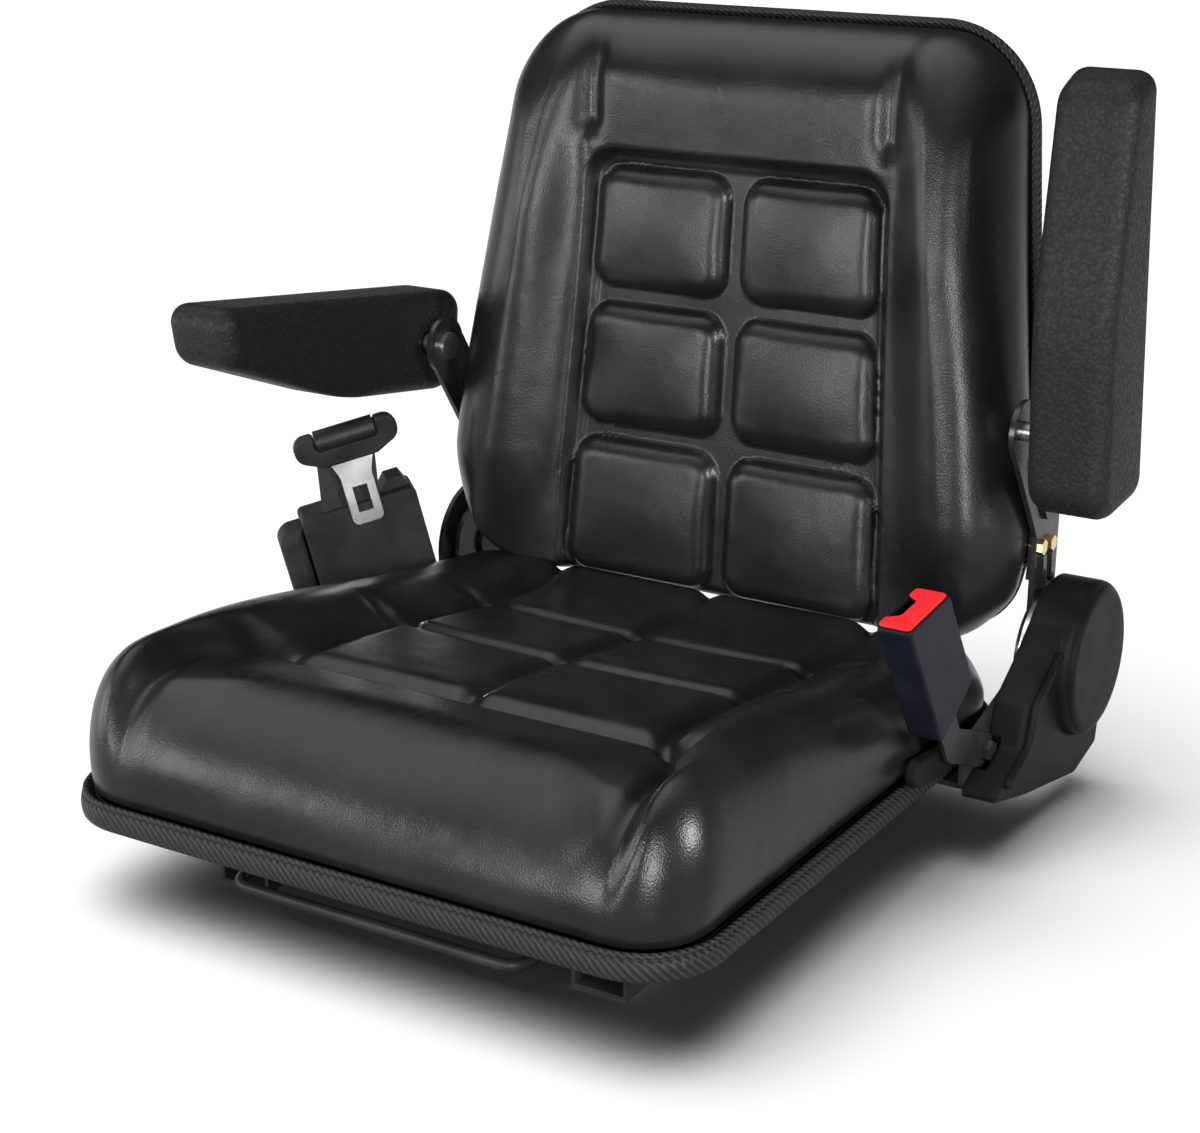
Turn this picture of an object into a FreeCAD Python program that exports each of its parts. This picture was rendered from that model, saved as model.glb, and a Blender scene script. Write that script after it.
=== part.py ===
# Ride on mower seat with reclining back, folding armrests, lap belt and fore-aft rails.
# Millimetres. +Z is up, the sitter faces -Y and the sitter's left hand is at +X.
# The origin is the centre of the four floor holes, on the underside of the lower rails.
import FreeCAD, Part
import Sketcher
import math
import os
from collections import namedtuple
from types import SimpleNamespace

DRIVING_SIZES = {
    # lower rails, screwed to the machine
    "rail_gauge": 280,
    "rail_length": 380,
    "rail_width": 40,
    "rail_height": 22,
    "rail_sheet": 2.5,
    "rail_mouth": 20,
    "floor_hole_spacing": 300,
    "floor_hole": 9,
    "notch_pitch": 20,
    "notch_width": 9,
    "notch_depth": 5,
    # upper rails, glides and risers
    "upper_rail_length": 340,
    "upper_rail_top": 40,
    "upper_rail_flange": 34,
    "upper_rail_web": 17,
    "foot_width": 29,
    "foot_height": 8,
    "running_gap": 0.3,
    "glide_length": 30,
    "glide_spacing": 260,
    "riser_length": 50,
    "riser_sheet": 3,
    "bolt_diameter": 8,
    "bolt_head_width": 13,
    "bolt_head_height": 5.3,
    # slide release bar
    "bar_diameter": 8,
    "bar_inside_rail": 28,
    "bar_pivot_y": -40,
    "bar_pivot_z": 30,
    "bar_front_y": -236,
    "bar_bend": 16,
    "latch_reach": 17,
    "latch_width": 20,
    "latch_sheet": 3,
    "latch_ahead": 40,
    "latch_clearance": 0.5,
    # seat pan, edge trim and cushion
    "seat_width": 480,
    "seat_front": -268,
    "seat_back": 222,
    "seat_corner": 55,
    "pan_underside": 58,
    "pan_sheet": 2,
    "pan_depth": 16,
    "trim_wall": 9,
    "trim_lip": 2,
    "trim_height": 18,
    "trim_cover": 4,
    "fit_gap": 0.05,
    "soft_gap": 0.3,
    "cushion_crest": 90,
    "cushion_rear_drop": 46,
    "cushion_nose": 85,
    "cushion_tail": 30,
    "thigh_dish": 13,
    "seat_dish": 21,
    "rear_dish": 4,
    "bolster_width": 45,
    "bolster_swell": 6,
    "thigh_line": -130,
    "pad_line_front": -15,
    "pad_line_rear": 88,
    "crease_half": 148,
    "groove_radius": 9,
    "groove_depth": 6,
    # side brackets
    "pivot_y": 250,
    "pivot_z": 107.5,
    "pivot_diameter": 16,
    "arm_room": 9.5,
    "bracket_plate": 4,
    "bracket_eye": 50,
    "bracket_foot_inside": 180,
    "bracket_foot_front": 100,
    "bracket_foot_back": 205,
    "bracket_front": 96,
    "foot_bolt_x": 212,
    "foot_bolt_spacing": 64,
    # recliner
    "arm_clearance": 13,
    "arm_plate": 4,
    "sector_plate": 5,
    "sector_root": 44,
    "tooth_height": 3.3,
    "tooth_step": 6,
    "tooth_count": 15,
    "lever_plate": 4.4,
    "lever_pivot_y": 180,
    "lever_pivot_z": 72,
    "lever_pin": 10,
    "lever_eye": 10,
    "lever_tip_y": 32,
    "lever_tip_z": 90,
    "lever_half_width": 7,
    "pawl_gap": 0.5,
    "pawl_angle": 200,
    "pawl_half_width": 5,
    "grip_length": 46,
    "grip_wall": 2.6,
    "cap_diameter": 114,
    "cap_depth": 40.5,
    "cap_rounding": 10,
    "cover_wall": 3,
    "skirt_depth": 28.5,
    "spring_turns": 3,
    "spring_strip": 1.4,
    "spring_width": 12,
    "spring_growth": 9,
    # backrest, measured from the recline pivot along its own lean
    "back_lean": 5,
    "back_bottom": 12,
    "back_widest": 100,
    "back_top": 434,
    "back_half_bottom": 212,
    "back_half_widest": 228,
    "back_half_top": 196,
    "back_corner_bottom": 45,
    "back_corner_top": 70,
    "back_corner_side": 160,
    "shell_rear": 14,
    "shell_depth": 16,
    "shell_sheet": 2,
    "back_trim_wall": 7,
    "back_trim_height": 13,
    "panel_front": 53,
    "bolster_rise": 27,
    "back_overhang": 9,
    "recess_depth": 10,
    "recess_top": 333,
    "recess_half_top": 122,
    "recess_half_bottom": 139,
    "recess_corner": 22,
    "pad_gap": 11,
    "pad_margin": 6,
    "pad_rise": 11,
    "pad_corner": 18,
    "pad_rounding": 7,
    "lug_sheet": 3,
    "lug_width": 56,
    "lug_height": 50,
    "lug_reach": 34,
    "lug_bolt_inset": 15,
    "lug_bolt_spacing": 24,
    "arm_eye": 40,
    "arm_half_width": 21,
    "arm_knee_y": -6,
    "arm_knee_z": 96,
    "rib_width": 6,
    "rib_height": 3,
    "rib_spacing": 16,
    "arm_screw": 6,
    "arm_screw_y": -2,
    "arm_screw_z": 80,
    "arm_screw_spacing": 18,
    # armrests, measured from their pivots
    "armrest_pivot_y": -66,
    "armrest_pivot_z": 170,
    "armrest_eye": 22,
    "armrest_pin": 14,
    "armrest_clearance": 18,
    "armrest_width": 58,
    "armrest_length": 291,
    "armrest_behind": 48,
    "armrest_above": 39,
    "armrest_depth": 77,
    "armrest_tip_depth": 42,
    "armrest_tip_slant": 13,
    "armrest_rounding": 13,
    "armrest_low": 7.5,
    "armrest_raised": 85,
    "bush_wall": 3,
    "bush_length": 46,
    # belt buckle, sitter's left
    "strap_sheet": 3,
    "strap_half_width": 12,
    "anchor_y": 126,
    "anchor_z": 75,
    "strap_bend_y": 70,
    "strap_bend_z": 98,
    "buckle_lean": 32,
    "buckle_y": 49,
    "buckle_z": 132,
    "buckle_thickness": 24,
    "buckle_width": 55,
    "buckle_front": 112,
    "buckle_rear": 86,
    "buckle_wall": 2.5,
    "button_thickness": 11,
    "button_length": 30,
    "button_travel": 6,
    "button_proud": 1,
    "leaf_sheet": 0.8,
    "leaf_half_length": 16,
    "leaf_crown": 4,
    "tongue_slot": 5.5,
    "tongue_slot_depth": 30,
    # belt retractor and tongue, sitter's right
    "retractor_reach": 28.5,
    "retractor_y": 132,
    "retractor_z": 140,
    "retractor_yaw": 45,
    "retractor_roll": 14,
    "retractor_left": 44,
    "retractor_right": 50,
    "retractor_top": 23,
    "retractor_drop": 50,
    "retractor_depth": 38,
    "retractor_wall": 2.5,
    "bump_width": 12,
    "bump_height": 9,
    "spring_cap_reach": 21,
    "spring_cap_drop": 8,
    "spool_radius": 14,
    "spool_drop": 15,
    "frame_sheet": 2,
    "ear_gap": 1,
    "retractor_bracket_sheet": 4,
    "retractor_leg_top": 92,
    "retractor_leg_end": 280,
    "carrier_bolt_y": 250,
    "carrier_bolt_z": 76,
    "carrier_bolt_spacing": 30,
    "webbing_width": 47,
    "webbing_thickness": 1.6,
    "webbing_offset": 6,
    "webbing_middle": -2,
    "roll_radius": 9,
    "roll_wall": 4.6,
    "tongue_rise": 82,
    "tongue_middle": 8,
    "tongue_width": 82,
    "tongue_height": 28,
    "tongue_thickness": 11,
    "tongue_plate_width": 25,
    "tongue_plate_length": 53,
    "tongue_plate_sheet": 2.5,
    "tongue_window": 12,
}


class Size:
    """A length or angle that keeps its number beside the formula that ties it to the sheet."""

    def __init__(self, number, formula):
        self.number = number
        self.formula = formula

    def __add__(self, other):
        other = as_size(other)
        return Size(self.number + other.number, f"({self.formula} + {other.formula})")

    def __sub__(self, other):
        other = as_size(other)
        return Size(self.number - other.number, f"({self.formula} - {other.formula})")

    def __mul__(self, other):
        other = as_size(other)
        return Size(self.number * other.number, f"({self.formula} * {other.formula})")

    def __truediv__(self, other):
        other = as_size(other)
        return Size(self.number / other.number, f"({self.formula} / {other.formula})")

    def __radd__(self, other):
        return as_size(other) + self

    def __rsub__(self, other):
        return as_size(other) - self

    def __rmul__(self, other):
        return as_size(other) * self

    def __neg__(self):
        return Size(-self.number, f"(0 - {self.formula})")


def as_size(value):
    return value if isinstance(value, Size) else Size(float(value), f"({value})")


def cosine(angle):
    angle = as_size(angle)
    return Size(math.cos(math.radians(angle.number)), f"cos({angle.formula})")


def sine(angle):
    angle = as_size(angle)
    return Size(math.sin(math.radians(angle.number)), f"sin({angle.formula})")


def root(value):
    return Size(math.sqrt(value.number), f"sqrt({value.formula})")


doc = FreeCAD.newDocument("MowerSeat")
sheet = doc.addObject("Spreadsheet::Sheet", "Sizes")
for row, (name, number) in enumerate(DRIVING_SIZES.items(), start=1):
    sheet.set(f"A{row}", name)
    sheet.set(f"B{row}", str(number))
    sheet.setAlias(f"B{row}", name)
doc.recompute()
S = SimpleNamespace(**{name: Size(float(sheet.get(name)), f"Sizes.{name}") for name in DRIVING_SIZES})

# Faces that follow one another outwards from the back cushion, and inwards from the rails
S.arm_face = S.back_half_widest + S.arm_clearance
S.bracket_face = S.arm_face + S.arm_room
S.armrest_inside = S.arm_face + S.armrest_clearance
S.cap_face = S.bracket_face + S.cap_depth
S.skirt_face = S.bracket_face + S.skirt_depth
S.retractor_x = -S.bracket_face - S.retractor_reach
S.lug_inside = S.arm_face - S.lug_width
S.lug_bolt_x = S.lug_inside + S.lug_bolt_inset
S.bar_half_width = S.rail_gauge / 2 - S.bar_inside_rail

pieces = []


def keep(piece, label):
    """Give a sub-part its own name and list it for the hand-over."""
    piece.Label = label
    pieces.append(piece)
    return piece


def bind(thing, prop, size):
    thing.setExpression(prop, as_size(size).formula)


# sketch loops: each takes a sketch and binds all its points to the sheet


def pin_point(sketch, geometry, end, point):
    for kind, size in zip(("DistanceX", "DistanceY"), point):
        size = as_size(size)
        index = sketch.addConstraint(Sketcher.Constraint(kind, -1, 1, geometry, end, size.number))
        bind(sketch, f"Constraints[{index}]", size)


def flat(point):
    return FreeCAD.Vector(as_size(point[0]).number, as_size(point[1]).number, 0)


Line = namedtuple("Line", "start end")
Bend = namedtuple("Bend", "start middle end hold")


def hold_radius(radius):
    def hold(sketch, arc):
        index = sketch.addConstraint(Sketcher.Constraint("Radius", arc, radius.number))
        bind(sketch, f"Constraints[{index}]", radius)
    return hold


def hold_centre(centre, ahead):
    """Fix a half circle by its centre, along whichever axis its link mostly runs."""
    axis = 0 if abs(ahead[0].number) > abs(ahead[1].number) else 1
    kind = ("DistanceX", "DistanceY")[axis]
    size = as_size(centre[axis])

    def hold(sketch, arc):
        index = sketch.addConstraint(Sketcher.Constraint(kind, -1, 1, arc, 3, size.number))
        bind(sketch, f"Constraints[{index}]", size)
    return hold


def draw_chain(sketch, steps, closed=True):
    """Straight runs and bends, end to end. A bend hangs on its neighbours and one size of its own."""
    drawn = []
    following = steps[1:] + (steps[:1] if closed else [])
    for step, after in zip(steps, following + [None]):
        if isinstance(step, Line):
            edge = sketch.addGeometry(Part.LineSegment(flat(step.start), flat(step.end)))
            pin_point(sketch, edge, 1, step.start)
            if not isinstance(after, Line):
                pin_point(sketch, edge, 2, step.end)
            drawn.append((edge, 1, 2))
        else:
            edge = sketch.addGeometry(Part.Arc(flat(step.start), step.middle, flat(step.end)))
            first = 1 if (sketch.getPoint(edge, 1) - flat(step.start)).Length < 0.01 else 2
            step.hold(sketch, edge)
            drawn.append((edge, first, 3 - first))
    for (edge, _, last), (after, first, _) in zip(drawn, drawn[1:] + (drawn[:1] if closed else [])):
        sketch.addConstraint(Sketcher.Constraint("Coincident", edge, last, after, first))


def polygon(*points):
    following = points[1:] + points[:1]
    steps = [Line(a, b) for a, b in zip(points, following)]
    return lambda sketch: draw_chain(sketch, steps)


def towards(start, end):
    """The unit vector from one point to another."""
    across = as_size(end[0]) - start[0]
    along = as_size(end[1]) - start[1]
    reach = root(across * across + along * along)
    return across / reach, along / reach


def bend_at(before, corner, after, radius):
    """The arc that rounds a corner between two straight runs."""
    back = towards(corner, before)
    ahead = towards(corner, after)
    fold = back[0] * ahead[0] + back[1] * ahead[1]
    setback = radius * root((1 + fold) / (1 - fold))
    start = (corner[0] + back[0] * setback, corner[1] + back[1] * setback)
    end = (corner[0] + ahead[0] * setback, corner[1] + ahead[1] * setback)
    inward = flat(back) + flat(ahead)
    inward.normalize()
    depth = radius.number * (1 / math.sqrt((1 - fold.number) / 2) - 1)
    return Bend(start, flat(corner) + inward * depth, end, hold_radius(radius))


def path_through(points, radii, closed):
    """Steps along a route of corners: each is rounded by its radius, or left sharp by None."""
    count = len(points)
    bends = []
    for place_in_route, (corner, radius) in enumerate(zip(points, radii)):
        before = points[place_in_route - 1]
        after = points[(place_in_route + 1) % count]
        is_end = not closed and place_in_route in (0, count - 1)
        bends.append(None if radius is None or is_end else bend_at(before, corner, after, radius))
    steps = []
    for number in range(count if closed else count - 1):
        following = (number + 1) % count
        start = bends[number].end if bends[number] else points[number]
        end = bends[following].start if bends[following] else points[following]
        steps.append(Line(start, end))
        if bends[following]:
            steps.append(bends[following])
    return steps


def rounded(points, radii):
    """A closed outline with rounded corners; radii is one size, or one for each corner."""
    if isinstance(radii, Size):
        radii = [radii] * len(points)
    steps = path_through(list(points), radii, True)
    return lambda sketch: draw_chain(sketch, steps)


def rectangle(left, bottom, right, top):
    return polygon((left, bottom), (right, bottom), (right, top), (left, top))


def circle(centre, radius):
    def draw(sketch):
        ring = sketch.addGeometry(Part.Circle(flat(centre), FreeCAD.Vector(0, 0, 1), as_size(radius).number))
        pin_point(sketch, ring, 3, centre)
        index = sketch.addConstraint(Sketcher.Constraint("Radius", ring, as_size(radius).number))
        bind(sketch, f"Constraints[{index}]", radius)
    return draw


def slot(first, last, radius):
    """A link outline: two straight sides and a half circle round each end."""
    ahead = towards(first, last)
    side = (radius * ahead[1], -radius * ahead[0])
    right = [(x + side[0], z + side[1]) for x, z in (first, last)]
    left = [(x - side[0], z - side[1]) for x, z in (last, first)]
    over = flat(ahead) * as_size(radius).number
    steps = [
        Line(right[0], right[1]),
        Bend(right[1], flat(last) + over, left[0], hold_centre(last, ahead)),
        Line(left[0], left[1]),
        Bend(left[1], flat(first) - over, right[0], hold_centre(first, ahead)),
    ]
    return lambda sketch: draw_chain(sketch, steps)


# features of a body


def make_body(label):
    return keep(doc.addObject("PartDesign::Body", label), label)


def draw_sketch(body, plane, start, loops):
    """A sketch on one of the body's own planes, moved along its normal to the height start."""
    sketch = body.newObject("Sketcher::SketchObject", "Sketch")
    planes = {feature.Role: feature for feature in body.Origin.OriginFeatures}
    sketch.AttachmentSupport = [(planes[f"{plane}_Plane"], "")]
    sketch.MapMode = "FlatFace"
    bind(sketch, "AttachmentOffset.Base.z", start)
    for loop in loops:
        loop(sketch)
    return sketch


def extrude(body, kind, plane, start, end, loops):
    """Pad or cut from start to end along +X, +Y or +Z, whichever is normal to the plane."""
    flipped = plane == "XZ"
    base = -as_size(end) if flipped else as_size(start)
    feature = body.newObject(f"PartDesign::{kind}", kind)
    feature.Profile = draw_sketch(body, plane, base, loops)
    bind(feature, "Length", as_size(end) - start)
    feature.Reversed = kind == "Pocket"
    return feature


def pad(body, plane, start, end, *loops):
    return extrude(body, "Pad", plane, start, end, loops)


def cut(body, plane, start, end, *loops):
    doc.recompute()
    before = body.Shape.Volume
    feature = extrude(body, "Pocket", plane, start, end, loops)
    doc.recompute()
    if not body.Shape.Volume < before - 1e-6:
        raise RuntimeError(f"{body.Label}: a cut removed nothing")
    return feature


def round_edges(body, radius, chosen):
    """Fillet the edges that the test picks out, looking at each edge's two ends."""
    doc.recompute()
    tip = body.Tip
    names = []
    for number, edge in enumerate(tip.Shape.Edges, start=1):
        ends = [vertex.Point for vertex in edge.Vertexes]
        if chosen(edge, ends):
            names.append(f"Edge{number}")
    if not names:
        raise RuntimeError(f"{body.Label}: no edge to round")
    fillet = body.newObject("PartDesign::Fillet", "Fillet")
    fillet.Base = (tip, names)
    bind(fillet, "Radius", radius)
    doc.recompute()
    return fillet


AXIS_OF = {"XY": "z", "XZ": "y", "YZ": "x"}


def rim_at(plane, height):
    """Edges that lie wholly at one height above the plane."""
    axis = AXIS_OF[plane]

    def on_rim(edge, ends):
        box = edge.BoundBox
        low = getattr(box, f"{axis.upper()}Min")
        high = getattr(box, f"{axis.upper()}Max")
        return abs(low - as_size(height).number) < 0.01 and abs(high - as_size(height).number) < 0.01

    return on_rim


def place(piece, x, y, z, rotation=FreeCAD.Rotation()):
    piece.Placement = FreeCAD.Placement(FreeCAD.Vector(0, 0, 0), rotation)
    for axis, size in zip("xyz", (x, y, z)):
        bind(piece, f"Placement.Base.{axis}", size)
    return piece


def group(label, members):
    """Like pieces that share one name, each its own solid."""
    compound = doc.addObject("Part::Compound", label)
    compound.Links = members
    return keep(compound, label)


def cylinder(radius, height):
    solid = doc.addObject("Part::Cylinder", "Cylinder")
    bind(solid, "Radius", radius)
    bind(solid, "Height", height)
    return solid


def hexagon(across_flats, height):
    solid = doc.addObject("Part::Prism", "Hexagon")
    solid.Polygon = 6
    bind(solid, "Circumradius", across_flats / math.sqrt(3))
    bind(solid, "Height", height)
    return solid


TO_X = FreeCAD.Rotation(FreeCAD.Vector(0, 1, 0), 90)
TO_MINUS_X = FreeCAD.Rotation(FreeCAD.Vector(0, 1, 0), -90)
UPRIGHT = FreeCAD.Rotation()


def bolt(x, y, z, rotation, shank_diameter, head_width, head_height, shank_length):
    """A hexagon bolt whose head seats at the given point, with its shank along the turned Z."""
    head = hexagon(head_width, head_height)
    bind(head, "Placement.Base.z", -as_size(head_height))
    shank = cylinder(as_size(shank_diameter) / 2, shank_length)
    whole = doc.addObject("Part::Fuse", "Bolt")
    whole.Base = head
    whole.Tool = shank
    return place(whole, x, y, z, rotation)


def mirrored_pair(left_name, right_name, build):
    """Build a piece for the sitter's left (+X) and right (-X)."""
    return build(left_name, 1), build(right_name, -1)


def between(side, inner, outer):
    """Start and end along X of something that lies between two distances from the middle."""
    return (inner, outer) if side > 0 else (-as_size(outer), -as_size(inner))


# Lower rails: cold-rolled C channels with notched lips and two floor holes each
half_gauge = S.rail_gauge / 2
rail_half = S.rail_width / 2
lip_edge = S.rail_mouth / 2
NOTCHES_PER_RAIL = 9


def lower_rail(label, side):
    body = make_body(label)
    middle = half_gauge * side
    inner_wall = rail_half - S.rail_sheet
    under_lip = S.rail_height - S.rail_sheet
    section = [
        (rail_half, 0),
        (rail_half, S.rail_height),
        (lip_edge, S.rail_height),
        (lip_edge, under_lip),
        (inner_wall, under_lip),
        (inner_wall, S.rail_sheet),
    ]
    right = [(middle + x, z) for x, z in section]
    left = [(middle - x, z) for x, z in reversed(section)]
    pad(body, "XZ", -S.rail_length / 2, S.rail_length / 2, polygon(*right, *left))
    holes = [circle((middle, S.floor_hole_spacing / 2 * end), S.floor_hole / 2) for end in (-1, 1)]
    cut(body, "XY", 0, S.rail_sheet, *holes)
    lip = middle - lip_edge * side
    notch_left, notch_right = (lip - S.notch_depth, lip) if side > 0 else (lip, lip + S.notch_depth)
    notches = []
    for step in range(NOTCHES_PER_RAIL):
        centre = S.notch_pitch * (step - NOTCHES_PER_RAIL // 2) + S.bar_pivot_y - S.latch_ahead
        front = centre - S.notch_width / 2
        notches.append(rectangle(notch_left, front, notch_right, front + S.notch_width))
    cut(body, "XY", under_lip, S.rail_height, *notches)
    return body


mirrored_pair("lower_rail_left", "lower_rail_right", lower_rail)

# Upper rails: hat channels whose feet run under the lips of the lower rails
web_outside = S.upper_rail_web / 2
web_inside = web_outside - S.rail_sheet
foot_half = S.foot_width / 2
foot_top = S.foot_height + S.rail_sheet


def upper_rail(label, side):
    body = make_body(label)
    middle = half_gauge * side
    under_flange = S.upper_rail_top - S.rail_sheet
    half_section = [
        (S.upper_rail_flange / 2, S.upper_rail_top),
        (S.upper_rail_flange / 2, under_flange),
        (web_outside, under_flange),
        (web_outside, foot_top),
        (foot_half, foot_top),
        (foot_half, S.foot_height),
        (web_inside, S.foot_height),
        (web_inside, under_flange),
    ]
    right = [(middle + x, z) for x, z in half_section]
    left = [(middle - x, z) for x, z in reversed(half_section)]
    pad(body, "XZ", -S.upper_rail_length / 2, S.upper_rail_length / 2, polygon(*right, *left))
    inner_web = between(side, half_gauge - web_outside, half_gauge - web_inside)
    cut(body, "YZ", *inner_web, circle((S.bar_pivot_y, S.bar_pivot_z), S.bar_diameter / 2 + S.fit_gap))
    return body


mirrored_pair("upper_rail_left", "upper_rail_right", upper_rail)

# Glides: nylon shoes clipped round the feet of the upper rails, two in each rail
glides = []
for side in (-1, 1):
    for end in (-1, 1):
        shoe = doc.addObject("PartDesign::Body", "Glide")
        middle = half_gauge * side
        outside = rail_half - S.rail_sheet - S.running_gap
        low = S.rail_sheet + S.running_gap
        high = S.rail_height - S.rail_sheet - S.running_gap
        web_room = web_outside + S.running_gap
        foot_room = foot_half + S.fit_gap
        roof = foot_top + S.fit_gap
        half_shoe = [
            (outside, low),
            (outside, high),
            (web_room, high),
            (web_room, roof),
            (foot_room, roof),
            (foot_room, S.foot_height),
        ]
        right = [(middle + x, z) for x, z in half_shoe]
        left = [(middle - x, z) for x, z in reversed(half_shoe)]
        centre = S.glide_spacing / 2 * end
        pad(shoe, "XZ", centre - S.glide_length / 2, centre + S.glide_length / 2, polygon(*right, *left))
        glides.append(shoe)
group("rail_glides", glides)

# Risers: folded channels welded on the upper rails, with a bolt up through each into the pan
riser_half = S.upper_rail_flange / 2
riser_roof = S.pan_underside - S.riser_sheet
bolt_room = S.bolt_diameter / 2 + S.fit_gap
pan_floor = S.pan_underside + S.pan_sheet
riser_places = [(half_gauge * side, S.glide_spacing / 2 * end) for side in (-1, 1) for end in (-1, 1)]
risers = []
riser_bolts = []
for x, y in riser_places:
    riser = doc.addObject("PartDesign::Body", "Riser")
    leg = riser_half - S.riser_sheet
    section = polygon(
        (x - riser_half, S.upper_rail_top),
        (x - leg, S.upper_rail_top),
        (x - leg, riser_roof),
        (x + leg, riser_roof),
        (x + leg, S.upper_rail_top),
        (x + riser_half, S.upper_rail_top),
        (x + riser_half, S.pan_underside),
        (x - riser_half, S.pan_underside),
    )
    pad(riser, "XZ", y - S.riser_length / 2, y + S.riser_length / 2, section)
    cut(riser, "XY", riser_roof, S.pan_underside, circle((x, y), bolt_room))
    risers.append(riser)
    riser_bolts.append(bolt(x, y, riser_roof, UPRIGHT, S.bolt_diameter, S.bolt_head_width,
                            S.bolt_head_height, pan_floor - riser_roof))
group("rail_risers", risers)
group("riser_bolts", riser_bolts)

# Slide release bar: one bent rod, hinged in the webs of the upper rails
bar = make_body("slide_release_bar")
bar_end = half_gauge - web_inside
bar_route = [
    (bar_end, S.bar_pivot_y),
    (S.bar_half_width, S.bar_pivot_y),
    (S.bar_half_width, S.bar_front_y),
    (-S.bar_half_width, S.bar_front_y),
    (-S.bar_half_width, S.bar_pivot_y),
    (-bar_end, S.bar_pivot_y),
]
bar_steps = path_through(bar_route, [S.bar_bend] * len(bar_route), False)
bar_path = draw_sketch(bar, "XY", S.bar_pivot_z, [lambda sketch: draw_chain(sketch, bar_steps, False)])
bar_section = draw_sketch(bar, "YZ", bar_end, [circle((S.bar_pivot_y, S.bar_pivot_z), S.bar_diameter / 2)])
bar_pipe = bar.newObject("PartDesign::AdditivePipe", "BentRod")
bar_pipe.Profile = bar_section
bar_pipe.Spine = (bar_path, [])

# Latch plates: welded under the arms of the bar, each with a tooth over the notches of its rail
latches = []
for side in (-1, 1):
    latch = doc.addObject("PartDesign::Body", "Latch")
    under_bar = S.bar_pivot_z - S.bar_diameter / 2
    tooth_out = S.bar_half_width + S.latch_reach
    tooth_in = tooth_out - S.latch_sheet
    plate_in = S.bar_half_width - S.bar_diameter / 2
    tooth_low = S.rail_height + S.latch_clearance
    outline = [
        (plate_in, under_bar - S.latch_sheet),
        (tooth_in, under_bar - S.latch_sheet),
        (tooth_in, tooth_low),
        (tooth_out, tooth_low),
        (tooth_out, under_bar),
        (plate_in, under_bar),
    ]
    centre = S.bar_pivot_y - S.latch_ahead
    shape = polygon(*[(x * side, z) for x, z in outline])
    pad(latch, "XZ", centre - S.latch_width / 2, centre + S.latch_width / 2, shape)
    latches.append(latch)
group("slide_latch_plates", latches)

# Seat pan: a pressed steel tray with a rolled-up flange
seat_half = S.seat_width / 2


def seat_outline(inset):
    """The seat's plan, a rectangle with rounded corners, moved in by the inset."""
    half = seat_half - inset
    front = S.seat_front + inset
    back = S.seat_back - inset
    return [(-half, front), (half, front), (half, back), (-half, back)]


def rounded_seat(inset):
    return rounded(seat_outline(inset), S.seat_corner - inset)


pan_rim = S.pan_underside + S.pan_depth
foot_middle = (S.bracket_foot_front + S.bracket_foot_back) / 2
foot_bolts = [
    (S.foot_bolt_x * side, foot_middle + S.foot_bolt_spacing / 2 * end)
    for side in (-1, 1)
    for end in (-1, 1)
]
pan = make_body("seat_pan")
pad(pan, "XY", S.pan_underside, pan_rim, rounded_seat(S.trim_wall))
cut(pan, "XY", pan_floor, pan_rim, rounded_seat(S.trim_wall + S.pan_sheet))
cut(pan, "XY", S.pan_underside, pan_floor, *[circle(xy, bolt_room) for xy in riser_places + foot_bolts])

# Edge trim: an extruded strip, grooved to push over the pan's flange
trim_top = pan_rim + S.trim_cover
trim_low = trim_top - S.trim_height
trim = make_body("seat_edge_trim")
trim_inside = S.trim_wall + S.pan_sheet + S.trim_lip
pad(trim, "XY", trim_low, trim_top, rounded_seat(as_size(0)), rounded_seat(trim_inside))
cut(trim, "XY", trim_low, pan_rim + S.fit_gap,
    rounded_seat(S.trim_wall - S.fit_gap), rounded_seat(S.trim_wall + S.pan_sheet + S.fit_gap))


def ease(low, high, share):
    """A smooth step from low to high as share runs from 0 to 1."""
    share = min(max(share, 0.0), 1.0)
    return low + (high - low) * share * share * (3 - 2 * share)


def closed_section(points):
    """A closed wire: a spline through all the points, shut by a straight line."""
    spline = Part.BSplineCurve()
    spline.interpolate([FreeCAD.Vector(*point) for point in points])
    return Part.Wire([spline.toShape(), Part.makeLine(spline.EndPoint, spline.StartPoint)])


def mirror_points(half):
    """A half section from its outer end to the middle, and the same again on the other side."""
    return half + [(-x, y, z) for x, y, z in reversed(half[:-1])]


def plug(points, radii, depth):
    """A block of foam with rounded corners, cut to fill a tray."""
    edges = []
    for step in path_through(points, radii, True):
        if isinstance(step, Line):
            edges.append(Part.makeLine(flat(step.start), flat(step.end)))
        else:
            edges.append(Part.Arc(flat(step.start), step.middle, flat(step.end)).toShape())
    return Part.Face(Part.Wire(edges)).extrude(FreeCAD.Vector(0, 0, depth))


# Seat cushion: moulded foam with a roll under the thighs, raised sides and two columns of pads
over_trim = trim_top.number + S.soft_gap.number
cushion_front = S.seat_front.number + S.trim_wall.number
cushion_back = S.seat_back.number - S.trim_wall.number
knee = cushion_front + S.cushion_nose.number
tail = cushion_back - S.cushion_tail.number
thigh_line = S.thigh_line.number


def crest_at(y):
    """Height of the side bolsters above the trim."""
    front_crest = S.cushion_crest.number
    return ease(front_crest, front_crest - S.cushion_rear_drop.number, (y - knee) / (cushion_back - knee))


def dish_at(y):
    """How far the middle lies below the bolsters: little under the thighs, most behind them."""
    if y < thigh_line:
        return ease(S.thigh_dish.number, S.seat_dish.number, (y - knee) / (thigh_line - knee))
    return ease(S.seat_dish.number, S.rear_dish.number, (y - thigh_line) / (cushion_back - thigh_line))


def rolled(share):
    """Height left of a rolled end, from its foot at share 0 to its top at share 1."""
    foot = 0.28
    return foot + (1 - foot) * math.sqrt(1 - (1 - share) ** 2)


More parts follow.
